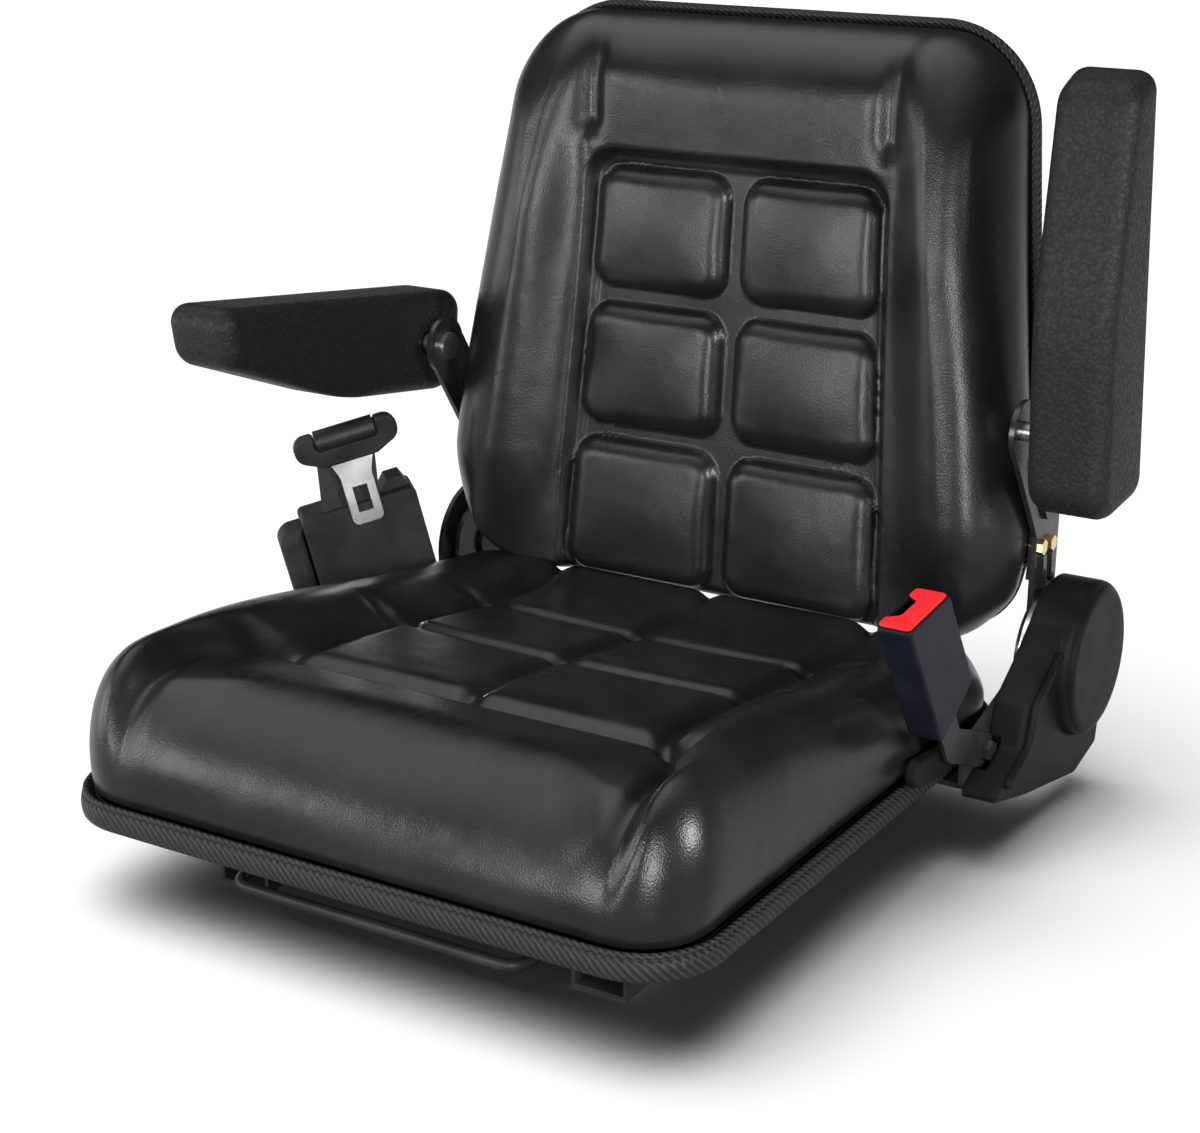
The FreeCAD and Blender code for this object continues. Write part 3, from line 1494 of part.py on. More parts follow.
# Button spring: a bent leaf with its feet on the floor of the well and its crown under the button
leaf = on_buckle(make_body("buckle_spring"))
leaf_foot = well_low + S.running_gap / 2
leaf_top = button_low - S.running_gap / 2
leaf_knee = (S.leaf_half_length + S.leaf_crown) / 2
leaf_lean = S.leaf_sheet * 0.7
leaf_side = S.buckle_wall / 2
leaf_half = [
    (S.leaf_half_length, leaf_foot),
    (S.leaf_half_length, leaf_foot + S.leaf_sheet),
    (leaf_knee + leaf_lean, leaf_foot + S.leaf_sheet),
    (S.leaf_crown + leaf_lean, leaf_top),
]
leaf_under = [
    (-leaf_knee, leaf_foot),
    (-S.leaf_crown, leaf_top - S.leaf_sheet),
    (S.leaf_crown, leaf_top - S.leaf_sheet),
    (leaf_knee, leaf_foot),
]
pad(leaf, "YZ", button_in + leaf_side, button_out - leaf_side,
    polygon(*leaf_half, *[(-y, z) for y, z in reversed(leaf_half)], *leaf_under))

# Retractor: drawn facing -Y, then turned to face the sitter and rolled with the pull of the belt
RETRACTOR_TURN = FreeCAD.Rotation(S.retractor_yaw.number, -S.retractor_roll.number, 0)


def on_retractor(piece):
    return place(piece, S.retractor_x, S.retractor_y, S.retractor_z, RETRACTOR_TURN)


wall = S.retractor_wall
web_half = S.webbing_width / 2
web_front = S.webbing_offset
web_rear = web_front + S.webbing_thickness
web_left = S.webbing_middle - web_half
web_right = S.webbing_middle + web_half
spool_at = (web_rear + S.spool_radius, -S.spool_drop)
slot_room = S.running_gap * 3

# Retractor cover: a moulded box, open at the back, with the belt slot in its top
housing = on_retractor(make_body("retractor_cover"))
housing_outline = [
    (-S.retractor_left, -S.retractor_drop),
    (S.retractor_right, -S.retractor_drop),
    (S.retractor_right, S.retractor_top),
    (-S.retractor_left, S.retractor_top),
]
pad(housing, "XZ", 0, S.retractor_depth, rounded(housing_outline, wall * 2))
round_edges(housing, wall * 0.8, rim_at("XZ", 0))
cut(housing, "XZ", wall, S.retractor_depth, rectangle(
    wall - S.retractor_left, wall - S.retractor_drop, S.retractor_right - wall, S.retractor_top - wall))
cut(housing, "XY", S.retractor_top - wall, S.retractor_top, rectangle(
    web_left - slot_room, web_front - slot_room, web_right + slot_room, web_rear + slot_room))
bump_left = S.retractor_right - S.bump_width * 1.6
bump_right = S.retractor_right - S.bump_width * 0.6
pad(housing, "XZ", web_rear + slot_room + wall, S.retractor_depth - wall, polygon(
    (bump_left - S.bump_height, S.retractor_top - wall / 2),
    (bump_right + S.bump_height / 2, S.retractor_top - wall / 2),
    (bump_right, S.retractor_top + S.bump_height),
    (bump_left, S.retractor_top + S.bump_height),
))

# Spring cap: the rounded cover of the rewind spring, on the end of the retractor
spring_cap = on_retractor(make_body("retractor_spring_cap"))
cap_reach = S.retractor_left + S.spring_cap_reach
cap_top = S.retractor_top - S.spring_cap_drop
cap_outline = [
    (-cap_reach, -S.retractor_drop),
    (-S.retractor_left, -S.retractor_drop),
    (-S.retractor_left, cap_top),
    (-cap_reach, cap_top),
]
pad(spring_cap, "XZ", wall, S.retractor_depth - wall,
    rounded(cap_outline, [None, None, None, S.spring_cap_reach * 0.6]))
round_edges(spring_cap, S.spring_cap_reach * 0.4, rim_at("XZ", wall))

# Spool and frame: the belt winds on the spool, which turns in two ears of a folded steel frame
spool = on_retractor(make_body("retractor_spool"))
pad(spool, "YZ", web_left, web_right, circle(spool_at, S.spool_radius - S.fit_gap))
axle_left = web_left - S.ear_gap - S.frame_sheet * 2
axle_right = web_right + S.ear_gap + S.frame_sheet * 2
for start, end in ((axle_left, web_left), (web_right, axle_right)):
    pad(spool, "YZ", start, end, circle(spool_at, S.spool_radius / 2))
frame = on_retractor(make_body("retractor_frame"))
frame_front = S.retractor_depth - S.frame_sheet
ear_left = web_left - S.ear_gap
ear_right = web_right + S.ear_gap
ear_low = spool_at[1] - S.spool_radius
ear_high = spool_at[1] + S.spool_radius
pad(frame, "XZ", frame_front, S.retractor_depth,
    rectangle(ear_left - S.frame_sheet, ear_low, ear_right + S.frame_sheet, ear_high))
for start in (ear_left - S.frame_sheet, ear_right):
    pad(frame, "YZ", start, start + S.frame_sheet, rectangle(web_front, ear_low, frame_front, ear_high))
    cut(frame, "YZ", start, start + S.frame_sheet, circle(spool_at, S.spool_radius / 2 + S.fit_gap))

# Retractor bracket: a folded plate from the right side bracket to the back of the retractor
yaw = S.retractor_yaw


def retractor_plan(across, depth):
    """A point of the retractor's plan, seen from above, in the seat's own frame."""
    return (S.retractor_x + across * cosine(yaw) - depth * sine(yaw),
            S.retractor_y + across * sine(yaw) + depth * cosine(yaw))


def fold_across(plane_x, depth):
    """How far along the retractor's back its plane meets a plane of constant X."""
    return (plane_x - S.retractor_x + depth * sine(yaw)) / cosine(yaw)


carrier = make_body("retractor_bracket")
back_face = S.retractor_depth
rear_face = back_face + S.retractor_bracket_sheet
leg_inner = -bracket_out
leg_outer = leg_inner - S.retractor_bracket_sheet
fold_inner = retractor_plan(fold_across(leg_inner, back_face), back_face)
fold_outer = retractor_plan(fold_across(leg_outer, rear_face), rear_face)
plate_left = -S.retractor_left
pad(carrier, "XY", S.pan_underside, S.retractor_leg_top, polygon(
    retractor_plan(plate_left, back_face), fold_inner, (leg_inner, S.retractor_leg_end),
    (leg_outer, S.retractor_leg_end), fold_outer, retractor_plan(plate_left, rear_face)))
pad(carrier, "XY", S.retractor_leg_top, S.retractor_z, polygon(
    retractor_plan(plate_left, back_face), retractor_plan(S.retractor_right, back_face),
    retractor_plan(S.retractor_right, rear_face), retractor_plan(plate_left, rear_face)))
cut(carrier, "YZ", leg_outer, leg_inner, *[circle(yz, bolt_room) for yz in carrier_bolts])
group("retractor_bracket_bolts", [
    bolt(leg_outer, y, z, TO_X, S.bolt_diameter, S.bolt_head_width, S.bolt_head_height,
         S.retractor_bracket_sheet + S.bracket_plate)
    for y, z in carrier_bolts
])

# Webbing: one strap, from the spool up through the slot and sewn round the tongue's bar
webbing = on_retractor(make_body("belt_webbing"))
tongue_left = S.tongue_middle - web_half
tongue_right = S.tongue_middle + web_half
bar_radius = S.roll_radius - S.roll_wall - S.fit_gap
bar_at = (web_rear - S.roll_radius, S.tongue_rise)
pad(webbing, "XZ", web_front, web_rear, polygon(
    (web_left, spool_at[1]), (web_right, spool_at[1]), (web_right, S.retractor_top),
    (tongue_right, S.tongue_rise), (tongue_left, S.tongue_rise), (web_left, S.retractor_top)))
pad(webbing, "YZ", tongue_left, tongue_right,
    circle(bar_at, S.roll_radius), circle(bar_at, S.roll_radius - S.roll_wall))

# Tongue: a steel plate with a window, its top moulded into a wide head with a bar for the belt
tongue = on_retractor(make_body("tongue_plate"))
head_rear = web_front - S.running_gap * 3
head_front = head_rear - S.tongue_thickness
plate_rear = -S.running_gap
plate_front = plate_rear - S.tongue_plate_sheet
head_low = S.tongue_rise - S.roll_radius - S.tongue_height * 0.45
plate_half = S.tongue_plate_width / 2
plate_low = head_low - S.tongue_plate_length
flare = plate_half * 1.35
tongue_outline = [
    (S.tongue_middle - plate_half, plate_low),
    (S.tongue_middle + plate_half, plate_low),
    (S.tongue_middle + plate_half, head_low - plate_half),
    (S.tongue_middle + flare, head_low),
    (S.tongue_middle - flare, head_low),
    (S.tongue_middle - plate_half, head_low - plate_half),
]
tip_rounding = plate_half * 0.4
pad(tongue, "XZ", plate_front, plate_rear,
    rounded(tongue_outline, [tip_rounding, tip_rounding, plate_half, None, None, plate_half]))
window_half = S.tongue_window / 2
window_low = plate_low + S.tongue_window * 0.8
window_high = window_low + S.tongue_window * 1.8
cut(tongue, "XZ", plate_front, plate_rear,
    rectangle(S.tongue_middle - window_half, window_low, S.tongue_middle + window_half, window_high))

head = on_retractor(make_body("tongue_cover"))
head_half = S.tongue_width / 2
head_top = head_low + S.tongue_height
head_outline = [
    (S.tongue_middle - head_half * 0.5, head_low),
    (S.tongue_middle + head_half * 0.5, head_low),
    (S.tongue_middle + head_half, head_low + S.tongue_height * 0.4),
    (S.tongue_middle + head_half, head_top),
    (S.tongue_middle - head_half, head_top),
    (S.tongue_middle - head_half, head_low + S.tongue_height * 0.4),
]
pad(head, "XZ", head_front, head_rear, rounded(head_outline, S.tongue_height * 0.15))
roll_room = S.roll_radius + S.running_gap
mouth_left = tongue_left - S.running_gap
mouth_right = tongue_right + S.running_gap
cut(head, "XZ", head_front, head_rear,
    rectangle(mouth_left, S.tongue_rise - roll_room, mouth_right, head_top + roll_room))
pad(head, "YZ", mouth_left, mouth_right, circle(bar_at, bar_radius))

# Checks and hand-over: nothing is written unless every object and solid is sound
doc.recompute()
for thing in doc.Objects:
    if "Invalid" in thing.State or "Error" in thing.State:
        raise RuntimeError(f"{thing.Label} failed: {thing.State}")
for piece in pieces:
    if piece.Shape.isNull() or not piece.Shape.isValid():
        raise RuntimeError(f"{piece.Label} has no sound shape")
os.makedirs("parts", exist_ok=True)
for piece in pieces:
    piece.Shape.exportStep(os.path.join("parts", f"{piece.Label}.step"))
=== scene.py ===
# Ride on mower seat with folding armrests, lap belt and slide rails, in metres.
# +Z is up, the sitter faces -Y and the sitter's left hand is at +X.
import math

import bmesh
import bpy
import numpy as np
from mathutils import Matrix, Vector


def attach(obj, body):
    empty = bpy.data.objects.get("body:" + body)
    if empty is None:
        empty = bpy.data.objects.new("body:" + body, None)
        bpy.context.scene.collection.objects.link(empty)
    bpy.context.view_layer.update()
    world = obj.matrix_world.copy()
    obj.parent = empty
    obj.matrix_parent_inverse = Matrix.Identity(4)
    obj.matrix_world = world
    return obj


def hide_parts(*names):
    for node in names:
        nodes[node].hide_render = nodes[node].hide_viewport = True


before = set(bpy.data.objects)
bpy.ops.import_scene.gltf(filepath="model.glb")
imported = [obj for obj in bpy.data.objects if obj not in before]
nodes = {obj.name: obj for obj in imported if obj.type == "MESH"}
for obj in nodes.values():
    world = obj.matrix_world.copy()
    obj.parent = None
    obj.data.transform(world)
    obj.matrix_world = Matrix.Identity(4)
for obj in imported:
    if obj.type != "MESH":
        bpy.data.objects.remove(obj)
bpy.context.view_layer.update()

# Studio: a pale floor and backdrop under a sky that is bright overhead, so the shadow lies dark
# and close under the seat. Softboxes for the seat alone put the highlights on its rolls and bolsters.
CAMERA_AROUND = math.radians(31.695)
CAMERA_UP = math.radians(18.672)
CAMERA_DISTANCE = 1.6291
CAMERA_AIM = Vector((0.0236, 0.0, 0.2027))
CAMERA_LENS = 72.2
CAMERA_SENSOR = 36
FLOOR_HALF = 20.0
FLOOR_WHITE = (0.92, 0.92, 0.92, 1)
FLOOR_ROUGHNESS = 0.9
SKY_LOW = 0.72
SKY_HORIZON = 0.03
SKY_OVERHEAD = 4.8
SKY_BRIGHTEST = (-0.24, -0.10, 0.966)
BACKDROP_TOP = 0.13
BACKDROP_FADE = 0.05
BACKDROP_GLOW = 0.8


def aim(piece, target):
    """Turns a camera or a light to look at a target."""
    piece.rotation_euler = (Vector(target) - piece.location).to_track_quat("-Z", "Y").to_euler()


studio_ground = bpy.data.collections.new("studio_ground")


def softbox(name, place, target, width, height, watts):
    """A rectangular light at a place, turned to a target. It lights the seat and not the floor."""
    lamp = bpy.data.lights.new(name, "AREA")
    lamp.shape = "RECTANGLE"
    lamp.size = width
    lamp.size_y = height
    lamp.energy = watts
    box = bpy.data.objects.new(name, lamp)
    bpy.context.scene.collection.objects.link(box)
    box.location = place
    aim(box, target)
    box.light_linking.receiver_collection = studio_ground


view = bpy.data.objects.new("camera", bpy.data.cameras.new("camera"))
bpy.context.scene.collection.objects.link(view)
view.data.sensor_width = CAMERA_SENSOR
view.data.sensor_fit = "HORIZONTAL"
view.data.lens = CAMERA_LENS
view.location = CAMERA_AIM + CAMERA_DISTANCE * Vector((
    math.cos(CAMERA_UP) * math.sin(CAMERA_AROUND),
    -math.cos(CAMERA_UP) * math.cos(CAMERA_AROUND),
    math.sin(CAMERA_UP)))
aim(view, CAMERA_AIM)
bpy.context.scene.camera = view
bpy.context.scene.view_settings.view_transform = "Standard"

sky = bpy.data.worlds.new("studio_sky")
bpy.context.scene.world = sky
sky.use_nodes = True
sky_nodes = sky.node_tree.nodes
sky_link = sky.node_tree.links.new
sky_way = sky_nodes.new("ShaderNodeTexCoord").outputs["Generated"]
sky_height = sky_nodes.new("ShaderNodeVectorMath")
sky_height.operation = "DOT_PRODUCT"
sky_height.inputs[1].default_value = SKY_BRIGHTEST
sky_shade = sky_nodes.new("ShaderNodeMapRange")
sky_shade.inputs["From Min"].default_value = SKY_LOW
sky_shade.inputs["To Min"].default_value = SKY_HORIZON
sky_shade.inputs["To Max"].default_value = SKY_OVERHEAD
sky_axes = sky_nodes.new("ShaderNodeSeparateXYZ")
backdrop = sky_nodes.new("ShaderNodeMapRange")
backdrop.inputs["From Min"].default_value = BACKDROP_TOP
backdrop.inputs["From Max"].default_value = BACKDROP_TOP + BACKDROP_FADE
backdrop.inputs["To Min"].default_value = BACKDROP_GLOW
backdrop.inputs["To Max"].default_value = 0.0
sky_sum = sky_nodes.new("ShaderNodeMath")
sky_light = sky_nodes["Background"]
sky_light.inputs["Color"].default_value = (1, 1, 1, 1)
sky_link(sky_way, sky_height.inputs[0])
sky_link(sky_height.outputs["Value"], sky_shade.inputs["Value"])
sky_link(sky_way, sky_axes.inputs[0])
sky_link(sky_axes.outputs["Z"], backdrop.inputs["Value"])
sky_link(sky_shade.outputs["Result"], sky_sum.inputs[0])
sky_link(backdrop.outputs["Result"], sky_sum.inputs[1])
sky_link(sky_sum.outputs["Value"], sky_light.inputs["Strength"])
softbox("front_strip", (-0.47, -1.85, 0.45), (0.1, 0.15, 0.32), 0.22, 0.8, 24)
softbox("left_strip", (-1.27, -1.41, 0.75), (-0.1, 0.15, 0.35), 0.25, 0.7, 17)
softbox("left_softbox", (-1.75, -0.8, 0.40), (0, 0.1, 0.3), 1.0, 0.9, 17)
softbox("knee_softbox", (1.83, -0.52, 0.80), (0.2, -0.2, 0.14), 0.35, 0.5, 60)
softbox("right_strip", (1.09, -1.68, 0.37), (0.2, 0.19, 0.28), 0.16, 0.9, 42)
softbox("top_strip", (0.10, -2.0, 0.70), (-0.1, 0.2, 0.42), 0.14, 0.5, 16)


def piece_of(name, points, faces):
    """A new smooth-shaded mesh object in the scene."""
    mesh = bpy.data.meshes.new(name)
    mesh.from_pydata(points, [], faces)
    mesh.validate()
    mesh.shade_smooth()
    piece = bpy.data.objects.new(name, mesh)
    bpy.context.scene.collection.objects.link(piece)
    return piece


floor = piece_of("studio_floor", [
    (-FLOOR_HALF, -FLOOR_HALF, 0), (FLOOR_HALF, -FLOOR_HALF, 0),
    (FLOOR_HALF, FLOOR_HALF, 0), (-FLOOR_HALF, FLOOR_HALF, 0)], [(0, 1, 2, 3)])
floor_paint = bpy.data.materials.new("studio_floor")
floor_paint.use_nodes = True
floor_shader = floor_paint.node_tree.nodes["Principled BSDF"]
floor_shader.inputs["Base Color"].default_value = FLOOR_WHITE
floor_shader.inputs["Roughness"].default_value = FLOOR_ROUGHNESS
floor_shader.inputs["Specular IOR Level"].default_value = 0.0
floor.data.materials.append(floor_paint)
studio_ground.objects.link(floor)
for member in studio_ground.collection_objects:
    member.light_linking.link_state = "EXCLUDE"

# Slide rails: two rolled steel channels screwed to the machine, with inverted rails running in
# them on nylon blocks. Black paint with a little dust on it, and zinc plated bolts.
STEEL_BLACK = (0.007, 0.007, 0.0075, 1)
STEEL_DUSTY = (0.016, 0.016, 0.0165, 1)
ZINC = (0.62, 0.62, 0.63, 1)
ZINC_PALE = (0.74, 0.74, 0.75, 1)
NYLON = (0.62, 0.60, 0.54, 1)
PAINT_EDGE = 0.0008
PAINT_FILM = 0.0035
DUST_PATCH = 0.05
PLATING_PATCH = 0.03


class Finish:
    """A material with the seat's own coordinates, and the steps that build its grain."""

    def __init__(self, name, **settings):
        self.material = bpy.data.materials.new(name)
        self.material.use_nodes = True
        self.tree = self.material.node_tree
        self.shader = self.tree.nodes["Principled BSDF"]
        self.place = self.tree.nodes.new("ShaderNodeTexCoord").outputs["Object"]
        for socket, value in settings.items():
            self.shader.inputs[socket.replace("_", " ")].default_value = value

    def step(self, kind, **settings):
        """A new node of the given kind, with its settings."""
        node = self.tree.nodes.new(kind)
        for key, value in settings.items():
            setattr(node, key, value)
        return node

    def link(self, source, target):
        self.tree.links.new(source, target)

    def noise(self, size, detail=3.0):
        """Cloudy grain with features of the given size."""
        node = self.step("ShaderNodeTexNoise")
        node.inputs["Scale"].default_value = 1 / size
        node.inputs["Detail"].default_value = detail
        self.link(self.place, node.inputs["Vector"])
        return node.outputs["Fac"]

    def cells(self, size):
        """Pebbles of the given size, as pressed into vinyl and moulded plastic."""
        node = self.step("ShaderNodeTexVoronoi", feature="SMOOTH_F1")
        node.inputs["Scale"].default_value = 1 / size
        node.inputs["Smoothness"].default_value = 0.6
        self.link(self.place, node.inputs["Vector"])
        return node.outputs["Distance"]

    def span(self, source, low, high, start=0.3, end=0.7):
        """A value that runs from low to high as the source goes from start to end."""
        node = self.step("ShaderNodeMapRange")
        node.inputs["From Min"].default_value = start
        node.inputs["From Max"].default_value = end
        node.inputs["To Min"].default_value = low
        node.inputs["To Max"].default_value = high
        self.link(source, node.inputs["Value"])
        return node.outputs["Result"]

    def colours(self, source, *stops):
        """A colour that runs through the given (position, colour) stops."""
        node = self.step("ShaderNodeValToRGB")
        ramp = node.color_ramp
        while len(ramp.elements) < len(stops):
            ramp.elements.new(0.5)
        for element, (at, colour) in zip(ramp.elements, stops):
            element.position = at
            element.color = colour
        self.link(source, node.inputs["Fac"])
        return node.outputs["Color"]

    def colour(self, source):
        self.link(source, self.shader.inputs["Base Color"])

    def rough(self, source):
        self.link(source, self.shader.inputs["Roughness"])

    def soft_edges(self, radius):
        """Rounds the look of sharp edges, as paint and moulding do."""
        node = self.step("ShaderNodeBevel", samples=4)
        node.inputs["Radius"].default_value = radius
        self.link(node.outputs["Normal"], self.shader.inputs["Normal"])

    def relief(self, source, depth):
        """Raises the surface by up to the given depth, on top of any relief it already has."""
        node = self.step("ShaderNodeBump")
        node.inputs["Distance"].default_value = depth
        node.inputs["Strength"].default_value = 1.0
        self.link(source, node.inputs["Height"])
        normal = self.shader.inputs["Normal"]
        if normal.is_linked:
            self.link(normal.links[0].from_socket, node.inputs["Normal"])
        self.link(node.outputs["Normal"], normal)


def dress(finish, *names):
    """Puts a finish on the named nodes of the CAD model."""
    for name in names:
        for holder in nodes[name].material_slots:
            holder.material = finish.material


def painted_steel(name, roughness, coat):
    """Black paint with a slight orange peel and dust, under a clear coat of the given weight."""
    steel = Finish(name, Base_Color=STEEL_BLACK, Specular_IOR_Level=0.12, Coat_Weight=coat,
                   Coat_Roughness=0.18)
    steel.soft_edges(PAINT_EDGE)
    film = steel.noise(PAINT_FILM)
    steel.rough(steel.span(film, roughness - 0.06, roughness + 0.08))
    steel.relief(film, 0.00012)
    dust = steel.noise(DUST_PATCH, 5.0)
    steel.colour(steel.colours(dust, (0.45, STEEL_BLACK), (0.72, STEEL_DUSTY)))
    return steel


def bright_steel(name, colour, tint, roughness):
    """Bare or plated metal that clouds from one colour to another."""
    plating = Finish(name, Base_Color=colour, Metallic=1.0)
    cloud = plating.noise(PLATING_PATCH, 2.0)
    plating.colour(plating.colours(cloud, (0.35, colour), (0.7, tint)))
    plating.rough(plating.span(cloud, roughness, roughness + 0.06))
    return plating


rail_paint = painted_steel("rail_paint", roughness=0.42, coat=0.0)
black_oxide = painted_steel("black_oxide", roughness=0.34, coat=0.0)
zinc_plate = bright_steel("zinc_plate", ZINC, ZINC_PALE, roughness=0.26)
glide_nylon = Finish("glide_nylon", Base_Color=NYLON, Subsurface_Weight=0.1)
glide_nylon.rough(glide_nylon.span(glide_nylon.noise(0.002), 0.38, 0.5))
dress(rail_paint, "lower_rail_left", "lower_rail_right", "upper_rail_left", "upper_rail_right",
      "rail_risers")
dress(zinc_plate, "riser_bolts")
dress(glide_nylon, "rail_glides")

# Slide release: one bent bar under the front edge, with the two latch plates welded to it.
# The bar is painted, the plates are bare plated steel.
dress(rail_paint, "slide_release_bar")
dress(zinc_plate, "slide_latch_plates")

# Seat pan: a shallow tray pressed from steel sheet and painted black. The cushion's foam fills
# it, and the risers of the rails are bolted to its underside.
dress(rail_paint, "seat_pan")

# Seat edge trim: a soft black strip pushed over the pan's rim. Its outer face is knurled with
# fine slanting ribs, and a thin smooth bead runs along its top.
SEAT_HALF_WIDTH = 0.240
SEAT_FRONT = -0.268
SEAT_REAR = 0.222
SEAT_CORNER = 0.055
TRIM_STEP = 0.004
TRIM_BLACK = (0.005, 0.005, 0.0053, 1)
TRIM_WORN = (0.013, 0.013, 0.0135, 1)
RIB_PITCH = 0.0028
SLANT_WAVE = 3.2
CROSS_WAVE = 6.28
TRIM_DEPTH = 0.0085
TRIM_FULLNESS = 0.0009
SEAT_TRIM_LOW = 0.060
TRIM_TOP = 0.078
SEAT_BEAD = 0.0042


def rounded_loop(corners, radii, step):
    """Points and outward directions along a closed outline with rounded corners, anticlockwise."""
    points = []
    count = len(corners)
    for index, radius in enumerate(radii):
        here = Vector(corners[index])
        back = (Vector(corners[index - 1]) - here).normalized()
        ahead = (Vector(corners[(index + 1) % count]) - here).normalized()
        half_angle = back.angle(ahead) / 2
        middle = here + (back + ahead).normalized() * radius / math.sin(half_angle)
        reach = radius / math.tan(half_angle)
        start = here + back * reach - middle
        sweep = math.copysign(math.pi - 2 * half_angle, ahead.cross(back))
        turns = max(2, round(radius * abs(sweep) / step))
        for turn in range(turns + 1):
            points.append(middle + Matrix.Rotation(sweep * turn / turns, 2) @ start)
    dense = []
    for here, ahead in zip(points, points[1:] + points[:1]):
        pieces = max(1, round((ahead - here).length / step))
        dense += [here.lerp(ahead, share / pieces) for share in range(pieces)]
    line = np.array([tuple(point) for point in dense])
    along = np.roll(line, -1, 0) - np.roll(line, 1, 0)
    along /= np.linalg.norm(along, axis=1)[:, None]
    outward = np.stack([along[:, 1], -along[:, 0]], 1)
    return line, outward


def welt(name, line, outward, profile, put):
    """Sweeps a closed profile of (out, up) points along an outline, and keeps its length as a map."""
    around = len(line)
    across = len(profile)
    points = []
    for (x, y), (out_x, out_y) in zip(line, outward):
        for out, up in profile:
            points.append(put(x + out_x * out, y + out_y * out, up))
    faces = []
    for i in range(around):
        for j in range(across):
            far = (i + 1) % around
            side = (j + 1) % across
            faces.append((i * across + j, far * across + j, far * across + side, i * across + side))
    piece = piece_of(name, points, faces)
    runs = np.linalg.norm(np.roll(line, -1, 0) - line, axis=1)
    length = np.concatenate([[0], np.cumsum(runs)])
    walls = np.linalg.norm(np.roll(profile, -1, 0) - np.array(profile), axis=1)
    height = np.concatenate([[0], np.cumsum(walls)])
    layer = piece.data.uv_layers.new(name="length_map")
    for face in piece.data.polygons:
        i, j = divmod(face.index, across)
        spots = ((i, j), (i + 1, j), (i + 1, j + 1), (i, j + 1))
        for loop, (along, over) in zip(face.loop_indices, spots):
            layer.data[loop].uv = (length[along], height[over])
    return piece


def knurled_face(low, high, bead):
    """The strip's profile: a rounded foot, a slightly full ribbed face, a nick and the bead."""
    face = [(-TRIM_DEPTH, low), (-0.0012, low), (-0.0003, low + 0.0010)]
    for share in (0.15, 0.35, 0.5, 0.65, 0.85):
        full = TRIM_FULLNESS * math.sin(math.pi * share)
        face.append((full - 0.0003, low + 0.001 + (high - bead - 0.002 - low) * share))
    face += [(-0.0004, high - bead - 0.0008), (-0.0016, high - bead - 0.0002)]
    for turn in range(7):
        angle = math.radians(-60 + 40 * turn)
        radius = bead / 2
        out = -0.0010 - radius + radius * math.cos(angle)
        face.append((out, high - radius + radius * math.sin(angle)))
    face += [(-TRIM_DEPTH, high - bead)]
    return face


trim_rubber = Finish("knurled_trim", Base_Color=TRIM_BLACK, Specular_IOR_Level=0.10)
trim_map = trim_rubber.step("ShaderNodeUVMap", uv_map="length_map").outputs["UV"]
ribs = trim_rubber.step("ShaderNodeTexWave", wave_type="BANDS", bands_direction="DIAGONAL")
ribs.inputs["Scale"].default_value = 1 / RIB_PITCH / SLANT_WAVE
trim_rubber.link(trim_map, ribs.inputs["Vector"])
cross_ribs = trim_rubber.step("ShaderNodeTexWave", wave_type="BANDS", bands_direction="X")
cross_ribs.inputs["Scale"].default_value = 1 / RIB_PITCH / CROSS_WAVE
trim_rubber.link(trim_map, cross_ribs.inputs["Vector"])
trim_rubber.relief(ribs.outputs["Fac"], 0.0005)
trim_rubber.relief(cross_ribs.outputs["Fac"], 0.0003)
trim_rubber.colour(trim_rubber.colours(ribs.outputs["Fac"], (0.35, TRIM_BLACK), (0.95, TRIM_WORN)))
trim_rubber.rough(trim_rubber.span(trim_rubber.noise(0.004), 0.42, 0.58))

seat_corners = [(-SEAT_HALF_WIDTH, SEAT_FRONT), (SEAT_HALF_WIDTH, SEAT_FRONT),
                (SEAT_HALF_WIDTH, SEAT_REAR), (-SEAT_HALF_WIDTH, SEAT_REAR)]
seat_line, seat_outward = rounded_loop(seat_corners, [SEAT_CORNER] * 4, TRIM_STEP)
seat_trim = welt("seat_trim_strip", seat_line, seat_outward,
                 knurled_face(SEAT_TRIM_LOW, TRIM_TOP, SEAT_BEAD), lambda x, y, up: (x, y, up))
seat_trim.data.materials.append(trim_rubber.material)
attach(seat_trim, "seat")
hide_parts("seat_edge_trim")

# Seat cushion: foam moulded in a black vinyl skin with no sewn seams. A full roll under the
# thighs, raised bolsters at both sides, and two columns of soft pads parted by pressed grooves.
VINYL_BLACK = (0.0035, 0.0035, 0.0038, 1)
VINYL_WORN = (0.007, 0.007, 0.0075, 1)
SEAT_CENTRE = (0.0, -0.02)
SEAT_RIM_INSET = 0.0088
PAD_LINES = (-0.015, 0.088)
THIGH_LINE = -0.130
PAD_LINE_BOW = 0.06 / 0.14
SIDE_ROLL = 0.042
KNEE_ROLL = 0.044
REAR_ROLL_LOSS = 0.022
CREST_FRONT = 0.092
CREST_FALL = 0.048
MIDDLE_FRONT = 0.069
MIDDLE_FALL = 0.029
THIGH_SWELL = 0.010
THIGH_SWELL_AT = -0.192
THIGH_SWELL_WIDTH = 0.050
REAR_RIDGE = 0.005
REAR_RIDGE_AT = 0.188
REAR_RIDGE_WIDTH = 0.022
BOLSTER_FOOT = 0.184
BOLSTER_FOOT_IN = 0.042
BOLSTER_FOOT_IN_REAR = 0.008
BOLSTER_SLOPE = 0.022
BOLSTER_SLOPE_BEHIND = 0.030
BOLSTER_CREASE = 0.0075
THIGH_CREASE = 0.0085
CREASE_WIDTH = 0.0095
PAD_CREASE = 0.0055
PAD_CREASE_WIDTH = 0.0075
SEAT_SKIRT = 0.006
SKIRT_TAPER = 0.975
COVER_CELLS = 100
ROLL_CELLS = 32
ROLL_SHARE = 0.26
VINYL_PEBBLE = 0.0011
VINYL_WAVE = 0.045
